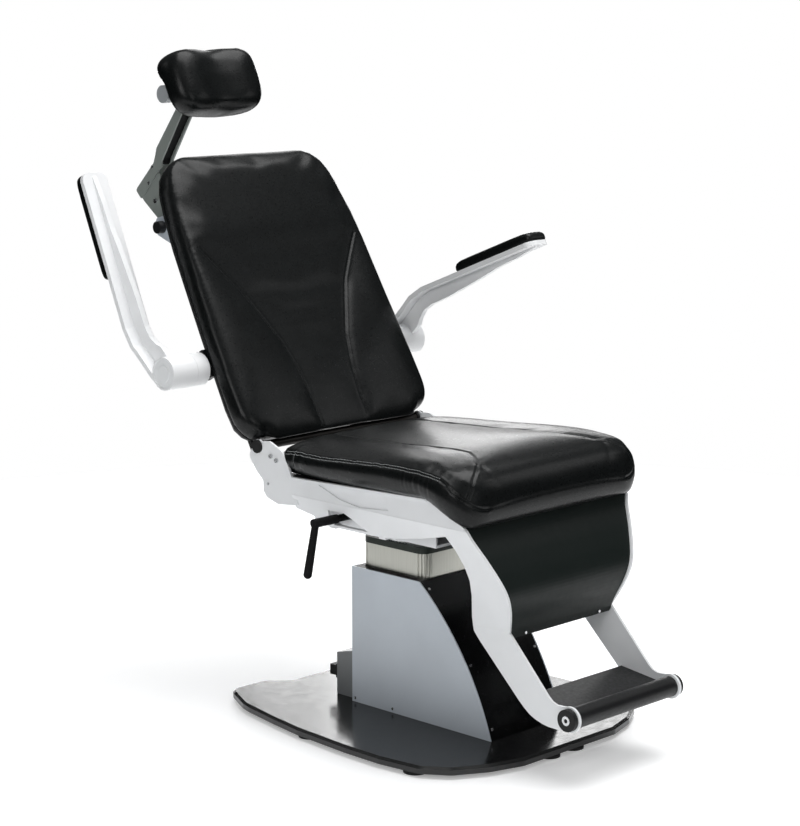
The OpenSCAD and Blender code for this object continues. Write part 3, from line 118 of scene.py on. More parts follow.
class Finish:
    """A procedural material under construction."""

    def __init__(self, name):
        self.mat = bpy.data.materials.new(name)
        self.mat.use_nodes = True
        self.tree = self.mat.node_tree
        self.shader = self.tree.nodes["Principled BSDF"]
        self.place = self.add("ShaderNodeTexCoord").outputs["Object"]
        self.normal = None

    def add(self, kind, **sets):
        """Adds a node. Each value goes to its property or, if it has none, to its socket."""
        node = self.tree.nodes.new(kind)
        for key, value in sets.items():
            if hasattr(node, key):
                setattr(node, key, value)
            else:
                node.inputs[key.replace("_", " ")].default_value = value
        return node

    def link(self, a, b):
        self.tree.links.new(a, b)

    def mapped(self, **sets):
        """The object's coordinates, moved or scaled."""
        node = self.add("ShaderNodeMapping", **sets)
        self.link(self.place, node.inputs["Vector"])
        return node.outputs["Vector"]

    def noise(self, scale, detail=4, stretch=None):
        node = self.add("ShaderNodeTexNoise", Scale=scale, Detail=detail)
        self.link(self.mapped(Scale=stretch) if stretch else self.place, node.inputs["Vector"])
        return node.outputs["Fac"]

    def cells(self, scale):
        node = self.add("ShaderNodeTexVoronoi", Scale=scale)
        self.link(self.place, node.inputs["Vector"])
        return node.outputs["Distance"]

    def spread(self, noise, low, high):
        """Lays a noise's values over another range."""
        node = self.add("ShaderNodeMapRange", From_Min=NOISE_LOW, From_Max=NOISE_HIGH)
        node.inputs["To Min"].default_value = low
        node.inputs["To Max"].default_value = high
        self.link(noise, node.inputs["Value"])
        return node.outputs["Result"]

    def colour(self, noise, base, share):
        """Patches that are a share darker and lighter than the base colour."""
        node = self.add("ShaderNodeMix", data_type="RGBA")
        self.link(self.spread(noise, 0, 1), node.inputs[0])
        node.inputs[6].default_value = (*(c * (1 - share) for c in base), 1)
        node.inputs[7].default_value = (*(min(1, c * (1 + share)) for c in base), 1)
        self.link(node.outputs[2], self.shader.inputs["Base Color"])

    def roughness(self, noise, low, high):
        self.link(self.spread(noise, low, high), self.shader.inputs["Roughness"])

    def edges(self, radius):
        """Makes the edges look rounded."""
        node = self.add("ShaderNodeBevel", samples=BEVEL_SAMPLES, Radius=radius * MM)
        self.normal = node.outputs["Normal"]
        self.link(self.normal, self.shader.inputs["Normal"])

    def bump(self, height, depth, strength=1.0):
        """Relief on top of the rounded edges and of the relief so far."""
        node = self.add("ShaderNodeBump", Strength=strength, Distance=depth * MM)
        self.link(height, node.inputs["Height"])
        if self.normal:
            self.link(self.normal, node.inputs["Normal"])
        self.normal = node.outputs["Normal"]
        self.link(self.normal, self.shader.inputs["Normal"])

    def set(self, **values):
        for key, value in values.items():
            self.shader.inputs[key.replace("_", " ")].default_value = value


def painted(name, base, rough=(0.34, 0.44), peel=0.02, gloss=0.5):
    f = Finish(name)
    f.colour(f.noise(PAINT_PATCHES), base, PAINT_TONES)
    f.roughness(f.noise(PAINT_SHEEN, detail=6), *rough)
    f.edges(PAINT_EDGE)
    f.bump(f.noise(PAINT_PEEL, detail=2), peel)
    f.set(Specular_IOR_Level=gloss)
    return f.mat


def textured(name, base, rough=(0.42, 0.56), edge=0.6, grain=0.05, gloss=0.3):
    f = Finish(name)
    f.colour(f.noise(PLASTIC_PATCHES), base, PLASTIC_TONES)
    f.roughness(f.noise(PLASTIC_SHEEN, detail=5), *rough)
    f.edges(edge)
    f.bump(f.noise(PLASTIC_GRAIN, detail=3), grain)
    f.set(Specular_IOR_Level=gloss)
    return f.mat


def metal(name, base, rough=(0.2, 0.32), stretch=(1, 1, 1), lines=0.02):
    f = Finish(name)
    streaks = f.noise(METAL_STREAKS, detail=5, stretch=stretch)
    f.colour(streaks, base, METAL_TONES)
    f.roughness(streaks, *rough)
    f.edges(METAL_EDGE)
    f.bump(streaks, lines)
    f.set(Metallic=1.0)
    return f.mat


def leather(name, base, rough):
    f = Finish(name)
    f.colour(f.noise(LEATHER_PATCHES), base, LEATHER_TONES)
    f.roughness(f.noise(LEATHER_SHEEN, detail=5), *rough)
    f.bump(f.noise(LEATHER_CREASES, detail=6), LEATHER_CREASE)
    f.bump(f.cells(LEATHER_CELLS), LEATHER_GRAIN, GRAIN_STRENGTH)
    f.bump(f.noise(LEATHER_PORES, detail=2), LEATHER_PORE)
    f.set(Specular_IOR_Level=0.22, Coat_Weight=0.03, Coat_Roughness=0.25)
    return f.mat


def turned(name, base, rough):
    """Paint over faint rings about the armrests' axle."""
    f = Finish(name)
    f.colour(f.noise(PAINT_PATCHES), base, CAP_TONES)
    f.roughness(f.noise(PAINT_SHEEN, detail=6), *rough)
    f.edges(PAINT_EDGE)
    wave = f.add("ShaderNodeTexWave", wave_type="RINGS", rings_direction="X", Scale=RING_SCALE)
    f.link(f.mapped(Location=[-c * MM for c in ARM_AXLE]), wave.inputs["Vector"])
    f.bump(wave.outputs["Fac"], RING_DEPTH)
    return f.mat


LEATHER = leather("leather", (0.0034, 0.0042, 0.0043), (0.26, 0.36))
THREAD = textured("thread", (0.016, 0.018, 0.018), grain=0.03, edge=0.1)
# Light grey thread on the seat's side welt: a painted highlight for the light caught along the
# welt's edge; the same stitching is dark at the front
SEAT_THREAD_PAINTED_HIGHLIGHT = textured("seat_thread_painted_highlight", (0.42, 0.44, 0.44), grain=0.03, edge=0.1)
FINISHES = {
    "black_leather": LEATHER,
    "white_paint": painted("white_powder_coat", (0.8, 0.815, 0.83), peel=0.03),
    "grey_paint": painted("pale_grey_coat", (0.55, 0.6, 0.655), (0.3, 0.4)),
    "black_paint": textured("black_powder_coat", (0.006, 0.0062, 0.0068), (0.36, 0.5)),
    "link_grey_paint": painted("grey_coat", (0.24, 0.265, 0.25), (0.3, 0.42)),
    "collar_paint": painted("green_grey_coat", (0.012, 0.018, 0.014), (0.4, 0.5), gloss=0.3),
    "alloy": metal("brushed_aluminium", (0.5, 0.5, 0.455), (0.28, 0.4), (1, 1, 0.02), 0.03),
    "steel": metal("satin_steel", (0.62, 0.63, 0.64)),
    "black_plastic": textured("black_plastic", (0.006, 0.0062, 0.0066)),
    "black_board": textured("black_board", (0.006, 0.006, 0.006), (0.55, 0.7)),
    "rubber": textured("rubber", (0.014, 0.014, 0.014), (0.7, 0.85)),
}

ARM_PAINT = painted("bright_white_coat", (0.9, 0.91, 0.92), (0.3, 0.4))
CAP_PAINT = turned("white_cap_coat", (0.86, 0.88, 0.89), (0.3, 0.4))
MATT_BLACK = textured("matt_black", (0.003, 0.003, 0.0033), (0.6, 0.75), gloss=0.15)
# Nodes whose looks differ from their slot's
OWN_FINISH = {
    "arm_right": ARM_PAINT,
    "arm_left": ARM_PAINT,
    "arm_spacers": ARM_PAINT,
    "arm_cap_right": CAP_PAINT,
    "arm_cap_left": CAP_PAINT,
    "headrest_stem_cover": MATT_BLACK,
    "clamp_lever": MATT_BLACK,
    "clamp_stud": MATT_BLACK,
    "base_plate": painted(
        "black_base_coat", (0.004, 0.0042, 0.0046), (0.15, 0.22), peel=0.006
    ),
    "pedestal_front_cover": painted(
        "black_gloss_coat", (0.003, 0.0032, 0.0036), (0.2, 0.28), peel=0.01, gloss=0.18
    ),
    "calf_panel": painted(
        "dark_green_grey_coat", (0.005, 0.0085, 0.0075), (0.4, 0.5), peel=0.03, gloss=0.25
    ),
    # Painted shade: the whole power box is dark grey to stand for the shade on its sides
    "power_box": painted("power_box_painted_shade_coat", (0.2, 0.21, 0.215), (0.3, 0.42)),
    "recline_shaft": metal("dark_steel", (0.05, 0.047, 0.044), (0.4, 0.5)),
    "headrest_knobs": painted("pale_knob_coat", (0.4, 0.42, 0.44), (0.3, 0.4)),
}

# Nodes with curved sheets, whose facets are shaded smooth
CURVED = ["calf_panel", "pedestal_front_cover", "side_frame_right", "side_frame_left", "base_plate"]


def wear(obj, mat):
    obj.data.materials.clear()
    obj.data.materials.append(mat)


def smooth_nodes():
    """A modifier tree that shades faces smooth except across sharp edges."""
    tree = bpy.data.node_groups.new("smooth_faces", "GeometryNodeTree")
    for way in ("INPUT", "OUTPUT"):
        tree.interface.new_socket("Geometry", in_out=way, socket_type="NodeSocketGeometry")
    start, end = tree.nodes.new("NodeGroupInput"), tree.nodes.new("NodeGroupOutput")
    faces, edges = (tree.nodes.new("GeometryNodeSetShadeSmooth") for _ in range(2))
    edges.domain = "EDGE"
    edges.inputs["Shade Smooth"].default_value = False
    angle = tree.nodes.new("GeometryNodeInputMeshEdgeAngle")
    sharp = tree.nodes.new("FunctionNodeCompare")
    sharp.operation = "GREATER_THAN"
    sharp.inputs["B"].default_value = math.radians(SHARP_ANGLE)
    tree.links.new(angle.outputs["Unsigned Angle"], sharp.inputs["A"])
    tree.links.new(sharp.outputs["Result"], edges.inputs["Selection"])
    tree.links.new(start.outputs[0], faces.inputs[0])
    tree.links.new(faces.outputs[0], edges.inputs[0])
    tree.links.new(edges.outputs[0], end.inputs[0])
    return tree


def dress_frame():
    for part in frame["record"]["subparts"]:
        node = part["node"]
        wear(frame["nodes"][node], OWN_FINISH.get(node, FINISHES[part["material_slot"]]))
    tree = smooth_nodes()
    for node in CURVED:
        frame["nodes"][node].modifiers.new("Smooth", "NODES").node_group = tree
        frame["nodes"][node].modifiers.new("Even", "WEIGHTED_NORMAL").keep_sharp = True


# ---------------------------------------------------------------- mesh helpers

# Spacing of points along a seam, in millimetres
PATH_STEP = 2.0
# Rays toward a surface start this many metres before the path
RAY_BACK = 0.15
# Distances from a path are measured up to here, for this many vertices at a time
NEAR = 20 * MM
NEAR_BATCH = 3000
SMOOTHING = 0.5
# Lighter vertex weights are left out
LEAST_WEIGHT = 0.02


def new_object(name, data):
    obj = bpy.data.objects.new(name, data)
    bpy.context.scene.collection.objects.link(obj)
    return obj


def bake(obj):
    """Applies the object's modifiers to its mesh."""
    graph = bpy.context.evaluated_depsgraph_get()
    obj.data = bpy.data.meshes.new_from_object(obj.evaluated_get(graph))
    obj.modifiers.clear()


def modify(obj, kind, **sets):
    mod = obj.modifiers.new(kind.title(), kind)
    for key, value in sets.items():
        setattr(mod, key, value)
    bake(obj)


def get_points(obj):
    flat = np.empty(len(obj.data.vertices) * 3)
    obj.data.vertices.foreach_get("co", flat)
    return flat.reshape(-1, 3)


def set_points(obj, points):
    obj.data.vertices.foreach_set("co", points.ravel())
    obj.data.update()


def get_normals(obj):
    flat = np.empty(len(obj.data.vertices) * 3)
    obj.data.vertex_normals.foreach_get("vector", flat)
    return flat.reshape(-1, 3)


def smooth_shade(obj):
    obj.data.polygons.foreach_set("use_smooth", [True] * len(obj.data.polygons))


def refine(obj):
    """Halves the mesh's edges on a smooth surface."""
    modify(obj, "SUBSURF", levels=1, render_levels=1)


def surface_of(obj):
    return BVHTree.FromPolygons(
        [v.co.copy() for v in obj.data.vertices], [tuple(p.vertices) for p in obj.data.polygons]
    )


def resampled(points, step):
    points = np.asarray(points, float)
    lengths = np.r_[0, np.cumsum(np.linalg.norm(np.diff(points, axis=0), axis=1))]
    at = np.linspace(0, lengths[-1], max(2, int(round(lengths[-1] / step)) + 1))
    return np.stack([np.interp(at, lengths, points[:, k]) for k in range(3)], axis=1)


def snapped(tree, path):
    """The path in short steps, each at its nearest place on the surface."""
    return np.array([tree.find_nearest(Vector(p))[0] for p in resampled(path, PATH_STEP) * MM])


def on_surface(tree, path, toward):
    """Drops each point of the path on the surface along a direction."""
    out, toward = [], Vector(toward).normalized()
    for p in path:
        hit = tree.ray_cast(Vector(p) - toward * RAY_BACK, toward)[0]
        if hit is not None:
            out.append(hit)
    return np.array(out)


def near(obj, path):
    """Each vertex's distance from the path's points, at most NEAR."""
    points, path = get_points(obj), np.asarray(path, float)
    out = np.full(len(points), float(NEAR))
    inside = (points > path.min(0) - NEAR) & (points < path.max(0) + NEAR)
    close = np.flatnonzero(inside.all(axis=1))
    for some in np.array_split(close, len(close) // NEAR_BATCH + 1):
        if len(some):
            gaps = np.linalg.norm(points[some][:, None] - path[None], axis=2)
            out[some] = np.minimum(NEAR, gaps.min(axis=1))
    return out


def rise(value, start, over):
    """Goes from 0 at the start to 1 over a length."""
    return np.clip((value - start) / over, 0, 1)


def fall(value, end, over):
    """Goes from 1 to 0 over a length before the end."""
    return np.clip((end - value) / over, 0, 1)


def weigh(obj, name, weights):
    """Makes a vertex group of the weights, and returns its name."""
    group = obj.vertex_groups.new(name=name)
    for i in np.flatnonzero(weights > LEAST_WEIGHT).tolist():
        group.add([i], float(weights[i]), "REPLACE")
    return name


def even_out(obj, weights, times):
    """Smooths the cover where its weight is high."""
    obj.vertex_groups.clear()
    group = weigh(obj, "even", weights)
    modify(obj, "SMOOTH", factor=SMOOTHING, iterations=times, vertex_group=group)


# ---------------------------------------------------------------- covers and seams

VOXEL = 6 * MM
HEAD_VOXEL = 4 * MM
PAD_VOXEL = 3 * MM

SIM_STEPS = 20
CLOTH_QUALITY = 5
CLOTH_MASS = 0.25
SHEAR_SHARE = 0.4

# Cover this near to a seam is held while the cushion is stuffed, in millimetres
SEWN_REACH = 3.2

# Cross-section of a seam: a groove with a low roll at each side, in millimetres and in its widths
SEAM_WIDTH = 2.6
ROLL_AT = 2.3

# Thread, in millimetres; the rings are heights on a spindle from -1 to 1
STITCH = 3.4
STITCH_PITCH = 4.7
STITCH_R = 0.42
# Thicker thread, to carry the painted highlight along the seat's side welt
HIGHLIGHT_STITCH_R = 0.68
STITCH_LIFT = 0.1
STITCH_ASIDE = 3.5
STITCH_SIDES = 6
STITCH_RINGS = (-0.62, 0, 0.62)


def soft_copy(node, name, body, voxel=VOXEL, smoothing=3):
    """A finely meshed copy of a CAD cushion, which it then stands for."""
    obj = new_object(name, frame["nodes"][node].data.copy())
    modify(obj, "REMESH", mode="VOXEL", voxel_size=voxel, adaptivity=0)
    modify(obj, "SMOOTH", factor=SMOOTHING, iterations=smoothing)
    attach(obj, body)
    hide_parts(node)
    wear(obj, LEATHER)
    return obj


def stuff(obj, held, cap, pressure, stiff, bend, loose=None, slack=0.0):
    """Fills the cover with pressure; the held points stay, and none moves past the cap."""
    start = get_points(obj)
    obj.vertex_groups.new(name="held").add(np.flatnonzero(held).tolist(), 1.0, "REPLACE")
    cloth = obj.modifiers.new("Cloth", "CLOTH")
    s = cloth.settings
    s.quality, s.mass = CLOTH_QUALITY, CLOTH_MASS
    s.tension_stiffness = s.compression_stiffness = stiff
    s.shear_stiffness, s.bending_stiffness = SHEAR_SHARE * stiff, bend
    s.use_pressure, s.uniform_pressure_force = True, pressure
    if loose is not None:
        s.vertex_group_shrink = weigh(obj, "loose", loose)
        s.shrink_min, s.shrink_max = 0.0, -slack
    s.effector_weights.gravity = 0
    s.vertex_group_mass = "held"
    cloth.collision_settings.use_collision = False
    for step in range(1, SIM_STEPS + 1):
        bpy.context.scene.frame_set(step)
    bake(obj)
    bpy.context.scene.frame_set(1)
    moved = get_points(obj) - start
    far = np.linalg.norm(moved, axis=1)[:, None]
    set_points(obj, start + moved * np.minimum(1, cap / np.maximum(far, 1e-9)))


def sew(obj, path, depth, roll):
    """Draws a seam line into the cover, with a slight roll at both sides."""
    d = near(obj, path) / (SEAM_WIDTH * MM)
    push = roll * np.exp(-((d - ROLL_AT) ** 2)) - depth * np.exp(-(d**2))
    set_points(obj, get_points(obj) + get_normals(obj) * push[:, None] * MM)


def spindle():
    """The points and faces of a short thread along Z with its ends at -1 and 1."""
    points, faces, n = [(0, 0, -1), (0, 0, 1)], [], STITCH_SIDES
    for z in STITCH_RINGS:
        wide = math.sqrt(1 - z * z)
        turns = np.arange(n) * math.tau / n
        points += [(wide * math.cos(a), wide * math.sin(a), z) for a in turns]
    last = 2 + n * (len(STITCH_RINGS) - 1)
    for k in range(n):
        m = (k + 1) % n
        faces += [(0, 2 + m, 2 + k), (1, last + k, last + m)]
        for low in range(2, last, n):
            faces += [(low + k, low + m, low + n + m), (low + k, low + n + m, low + n + k)]
    return np.array(points), np.array(faces)


def stitches(name, obj, body, rows, thread_mat, radius=STITCH_R):
    """Raised thread along rows of (path, sideways offset)."""
    tree, (shape, corners) = surface_of(obj), spindle()
    points, faces = [], []
    for path, offset in rows:
        seats = []
        for p, t in zip(path, np.gradient(path, axis=0)):
            spot, normal, _, _ = tree.find_nearest(Vector(p))
            across = normal.cross(Vector(t)).normalized()
            spot, normal, _, _ = tree.find_nearest(spot + across * offset * MM)
            seats.append(spot + normal * STITCH_LIFT * MM)
        line = resampled(seats, STITCH_PITCH * MM)
        for a, b in zip(line[:-1], line[1:]):
            half = Vector(b - a) * STITCH / STITCH_PITCH / 2
            turn = np.array(half.to_track_quat("Z", "Y").to_matrix())
            size = np.array((radius * MM, radius * MM, half.length))
            faces.append(corners + len(shape) * len(points))
            points.append((shape * size) @ turn.T + a + half)
    mesh = bpy.data.meshes.new(name)
    mesh.from_pydata(np.concatenate(points).tolist(), [], np.concatenate(faces).tolist())
    thread = new_object(name, mesh)
    smooth_shade(thread)
    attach(thread, body)
    wear(thread, thread_mat)


# ---------------------------------------------------------------- seat cushion

# The left seam on the top, from the rear to below the front corner, in millimetres
SEAT_SEAM = [
    (131, 178, 634), (134, 45, 645), (138, -107, 650), (143, -220, 657), (150, -278, 658),
    (167, -310, 655), (188, -338, 648), (218, -361, 639), (240, -373, 626), (252, -379, 611),
    (266, -379, 590),
]
# The left welt on the side, from the rear round the corner to the middle of the front
SEAT_WELT = [
    (236, 188, 602), (246, 158, 610), (274, 48, 618), (281, -51, 626), (285, -130, 632),
    (288, -200, 635), (288, -263, 634), (287, -299, 630), (285, -322, 624), (284, -340, 616),
    (282, -354, 606), (277, -368, 595), (268, -379, 585), (254, -391, 575), (238, -398, 569),
    (218, -401, 567), (186, -402, 569), (142, -402, 573), (95, -402, 575), (0, -402, 576),
]
# The thread painted light, as a highlight along the welt, ends before this y, and the sewn part of
# the welt beyond this x
WELT_TURN = -326
WELT_FRONT = 222

# Half widths of the solid and of the photo's cushion along y, outward of a fixed middle
CORNER_INNER = 150
CORNER_Y = [-400, -370, -330, -290, 120, 150, 160, 170, 180, 190, 194, 197]
CORNER_IS = [262, 280, 285, 288, 264, 249.8, 247.1, 244.6, 241.2, 234.6, 227.9, 218.3]
CORNER_TO = [272, 290, 291, 288, 264, 255.5, 255, 254.5, 253.5, 249, 244, 234]

# The cushion rests on its board below this line (y and z in metres) and a little over it
REST_Y, REST_Z = (-0.38, -0.263, 0.2), (0.524, 0.577, 0.562)
REST_OVER = 0.5 * MM
# The cover is loosest at its front corners (metres)
LOOSE_CORNER = Vector((0.27, -0.3, 0.615))
LOOSE_REACH = 0.14

# Depths of the seams, in millimetres, and the height of their rolls as a share
TOP_SEAM, SIDE_SEAM, FRONT_SEAM = 1.4, 1.6, 0.3
ROLL_SHARE = 0.3

# Swelling of the side panels between their foot and the welt, as lines of (y, z)
BELLY = 5.0
BELLY_FOOT = [(-300, 566), (200, 562)]
BELLY_WELT = [(-300, 630), (-130, 632), (48, 618), (200, 600)]
BELLY_FROM = (-345, 60)
FACING_OUT = (0.5, 0.3)

# Gathers under the welt; each fade has its start or end and its length
PUCKER = 1.1
PUCKER_PITCH = 13
PUCKER_DRIFT = (4, 17)
PUCKER_WAVES = ((0.55, 1, 0), (0.45, 0.61, 1))
PUCKER_FRONT, PUCKER_REAR = (-330, 40), (-190, 60)
PUCKER_UPPER, PUCKER_LOWER = (1.02, 0.15), (0.25, 0.6)
PUCKER_OUTER = (255, 15)


def up_the_side(p):
    """How far each point lies between the foot of the cushion's side (0) and its welt (1)."""
    y = p[:, 1] / MM
    low, high = (np.interp(y, *zip(*line)) for line in (BELLY_FOOT, BELLY_WELT))
    return (p[:, 2] / MM - low) / (high - low)


def fill_corners(obj):
    """The corners are a little squarer than the solid's."""
    p = get_points(obj)
    y = p[:, 1] / MM
    was, to = (np.interp(y, CORNER_Y, row) - CORNER_INNER for row in (CORNER_IS, CORNER_TO))
    out = np.maximum(np.abs(p[:, 0]) / MM - CORNER_INNER, 0)
    p[:, 0] += np.sign(p[:, 0]) * out * (to / was - 1) * MM
    set_points(obj, p)


def belly(obj):
    """The side panels swell between the foot and the welt."""
    p, n = get_points(obj), get_normals(obj)
    t = np.clip(up_the_side(p), 0, 1)
    outward = rise(np.abs(n[:, 0]), *FACING_OUT) * rise(p[:, 1] / MM, *BELLY_FROM)
    p[:, 0] += np.sign(p[:, 0]) * outward * 4 * t * (1 - t) * BELLY * MM
    set_points(obj, p)


def pucker(obj):
    """Short gathers hang from the welt near the front corners."""
    p = get_points(obj)
    y, t = p[:, 1] / MM, up_the_side(p)
    along = rise(y, *PUCKER_FRONT) * fall(y, *PUCKER_REAR)
    down = fall(t, *PUCKER_UPPER) * rise(t, *PUCKER_LOWER)
    side = rise(np.abs(p[:, 0] / MM), *PUCKER_OUTER)
    drift, length = PUCKER_DRIFT
    phase = math.tau * (y + drift * np.sin(y / length)) / PUCKER_PITCH
    wave = sum(share * np.cos(rate * phase + shift) for share, rate, shift in PUCKER_WAVES)
    push = PUCKER * wave * along * down * side
    set_points(obj, p + get_normals(obj) * push[:, None] * MM)


def seat_seams(obj):
    """The top seam and the welt of each side, on the cushion's surface."""
    tree = surface_of(obj)
    return [
        [snapped(tree, np.array(line) * (side, 1, 1)) for line in (SEAT_SEAM, SEAT_WELT)]
        for side in SIDES
    ]


def stuff_seat(obj, seams):
    """The cover is held on the board and along its seams, and is loosest at the front corners."""
    p = get_points(obj)
    held = p[:, 2] < REST_OVER + np.interp(p[:, 1], REST_Y, REST_Z)
    for seam, welt in seams:
        for path in (seam, welt[np.abs(welt[:, 0]) > WELT_FRONT * MM]):
            held |= near(obj, path) < SEWN_REACH * MM
    from_corner = np.abs(p) * (1, 0, 0) + p * (0, 1, 1) - LOOSE_CORNER
    loose = np.clip(1 - np.linalg.norm(from_corner, axis=1) / LOOSE_REACH, 0, 1)
    stuff(obj, held, 7 * MM, pressure=4.0, stiff=14, bend=2.5, loose=loose, slack=0.03)


def seat_cushion():
    obj = soft_copy("seat_cushion", "seat_upholstery", "seat")
    fill_corners(obj)
    seams = seat_seams(obj)
    stuff_seat(obj, seams)
    belly(obj)
    refine(obj)
    pucker(obj)
    # Stitches on the side welt before the turn get thread painted light as a highlight; the rest
    # get the dark thread
    painted_highlight_rows, dark = [], []
    for side, (seam, welt) in zip(SIDES, seams):
        turn = int(np.argmax(welt[:, 1] < WELT_TURN * MM))
        front = int(np.argmax(np.abs(welt[:, 0]) < WELT_FRONT * MM))
        parts = [(seam, TOP_SEAM), (welt[:front], SIDE_SEAM), (welt[front:], FRONT_SEAM)]
        for path, depth in parts:
            sew(obj, path, depth, ROLL_SHARE * depth)
        for offset in (-STITCH_ASIDE, STITCH_ASIDE):
            painted_highlight_rows.append((welt[:turn], offset))
            dark.append((welt[turn:front], offset))
        dark.append((seam, -STITCH_ASIDE * side))
    smooth_shade(obj)
    # Thread painted light and thick as a highlight along the side welt
    stitches("seat_side_stitching_painted_highlight", obj, "seat", painted_highlight_rows, SEAT_THREAD_PAINTED_HIGHLIGHT, HIGHLIGHT_STITCH_R)
    stitches("seat_stitching", obj, "seat", dark, THREAD)


# ---------------------------------------------------------------- backrest cushion

BACK_SPACE = (
    Matrix.Translation(Vector(PIVOT) * MM) @ Matrix.Rotation(math.radians(-BACK_TILT), 4, "X")
)

# The seams' distances from the middle, against the height over the cushion's foot
BACK_SEAM_UP = [3, 61, 136, 210, 285, 348, 409, 462]
BACK_SEAM_X = [75, 75, 82, 101, 135, 165, 207, 246]
BACK_SEAM, BACK_ROLL = 1.8, 0.5

# The middle of the front is smoothed first, away from its edges; each fade with its length
EVEN_LOWER, EVEN_UPPER = (330, 60), (600, 60)
EVEN_FACE, EVEN_SIDE = (-24, 8), (238, 30)
EVEN_TIMES = 160
# The cover lies on the board behind this depth, and is smoothed before it
BACK_HELD = 14.5
FRONT_FACE = (12, 10)
FRONT_TIMES = 24

# The stuffing hangs below the board, over this height, width and depth of the foot
SAG = 23
SAG_UP = 85
SAG_POWER = 1.5
SAG_SIDE = (244, 30)
SAG_FACE = (-10, 16)


def in_back(obj):
    """The points in the backrest's own axes, in millimetres."""
    back = BACK_SPACE.inverted()
    return get_points(obj) @ np.array(back.to_3x3()).T / MM + np.array(back.translation) / MM


def sag_foot(obj):
    """The stuffing hangs a little below the board in front of the recline shaft."""
    local = in_back(obj)
    low = np.clip(1 - (local[:, 2] - BACK_FOOT) / SAG_UP, 0, 1)
    inside = fall(np.abs(local[:, 0]), *SAG_SIDE)
    down = SAG * low**SAG_POWER * fall(local[:, 1], *SAG_FACE) * inside
    set_points(obj, get_points(obj) - down[:, None] * np.array(BACK_SPACE.to_3x3())[:, 2] * MM)


def back_seams(obj):
    """The two seams that run up and outward over the front."""
    tree = surface_of(obj)
    up = np.arange(BACK_SEAM_UP[0], BACK_SEAM_UP[-1], PATH_STEP)
    x = np.interp(up, BACK_SEAM_UP, BACK_SEAM_X)
    toward = BACK_SPACE.to_3x3() @ Vector((0, 1, 0))
    seams = []
    for side in SIDES:
        path = [BACK_SPACE @ (Vector((side * a, 0, b + BACK_FOOT)) * MM) for a, b in zip(x, up)]
        seams.append(on_surface(tree, path, toward))
    return seams


def back_cushion():
    obj = soft_copy("backrest_cushion", "backrest_upholstery", "back")
    local = in_back(obj)
    up = local[:, 2] - BACK_FOOT
    middle = rise(up, *EVEN_LOWER) * fall(up, *EVEN_UPPER)
    flat = fall(local[:, 1], *EVEN_FACE) * fall(np.abs(local[:, 0]), *EVEN_SIDE)
    even_out(obj, middle * flat, EVEN_TIMES)
    seams = back_seams(obj)
    held = local[:, 1] > BACK_HELD
    for path in seams:
        held |= near(obj, path) < SEWN_REACH * MM
    stuff(obj, held, 5 * MM, pressure=1.5, stiff=30, bend=25)
    even_out(obj, fall(local[:, 1], *FRONT_FACE), FRONT_TIMES)
    refine(obj)
    sag_foot(obj)
    for path in seams:
        sew(obj, path, BACK_SEAM, BACK_ROLL)
    smooth_shade(obj)
    rows = [(path, -STITCH_ASIDE * side) for side, path in zip(SIDES, seams)]
    stitches("backrest_stitching", obj, "back", rows, THREAD)


# ---------------------------------------------------------------- headrest and armrest pads

# The valley across the headrest's middle: half width and the share by which it is filled
VALLEY_HALF = 85
VALLEY_FILL = 0.095
HEAD_WIDEN = 1.06
# The ends are lower toward their tips: where that starts, over what length, and by what share
HEAD_END = (65, 65)
END_ROUND = 0.13
# Cover this near to the back plate is held
PLATE_REACH = 6
HEAD_TIMES, HEAD_LOOSE_TIMES = 30, 20


def shape_head(obj):
    """The headrest's middle is fuller than the solid's, and its ends are rounder and wider."""
    p = get_points(obj)
    x, centre = p[:, 0] / MM, (p.min(0) + p.max(0)) / 2
    fill = VALLEY_FILL * np.cos(np.clip(p[:, 0] / (VALLEY_HALF * MM), -1, 1) * math.pi / 2) ** 2
    p[:, 1:] = centre[1:] + (p[:, 1:] - centre[1:]) * (1 + fill)[:, None]
    end = rise(np.abs(x), *HEAD_END)
    p[:, 2] = centre[2] + (p[:, 2] - centre[2]) * (1 - END_ROUND * end**2)
    p[:, 0] *= HEAD_WIDEN
    set_points(obj, p)


def head_cushion():
    obj = soft_copy("headrest_cushion", "headrest_upholstery", "head_pad", HEAD_VOXEL)
    shape_head(obj)
    even_out(obj, np.ones(len(obj.data.vertices)), HEAD_TIMES)
    held = near(obj, get_points(frame["nodes"]["headrest_backplate"])) < PLATE_REACH * MM
    stuff(obj, held, 6 * MM, pressure=3.0, stiff=20, bend=10)
    even_out(obj, (~held).astype(float), HEAD_LOOSE_TIMES)
    refine(obj)
    smooth_shade(obj)


def arm_pad(side):
    obj = soft_copy(
        f"arm_pad_{side}", f"armrest_pad_{side}", f"armrest_{side}", PAD_VOXEL, smoothing=4
    )
    refine(obj)
    smooth_shade(obj)


# ---------------------------------------------------------------- stage, light and camera

FLOOR_HALF = 2.9
FLOOR_SIDES = 96
FLOOR_GLOW = 0.3
FLOOR_COLOUR = (0.93, 0.935, 0.94)
FLOOR_ROUGH = (0.6, 0.7)

# The room's strength at and below the first slope, and at and over the second (1 is straight up)
ROOM_STRENGTH = (0.012, 0.24)
ROOM_SLOPES = (0.12, 0.95)
ROOM_COLOUR = (0.97, 0.985, 1, 1)
BACKDROP_COLOUR = (1, 1, 1, 1)

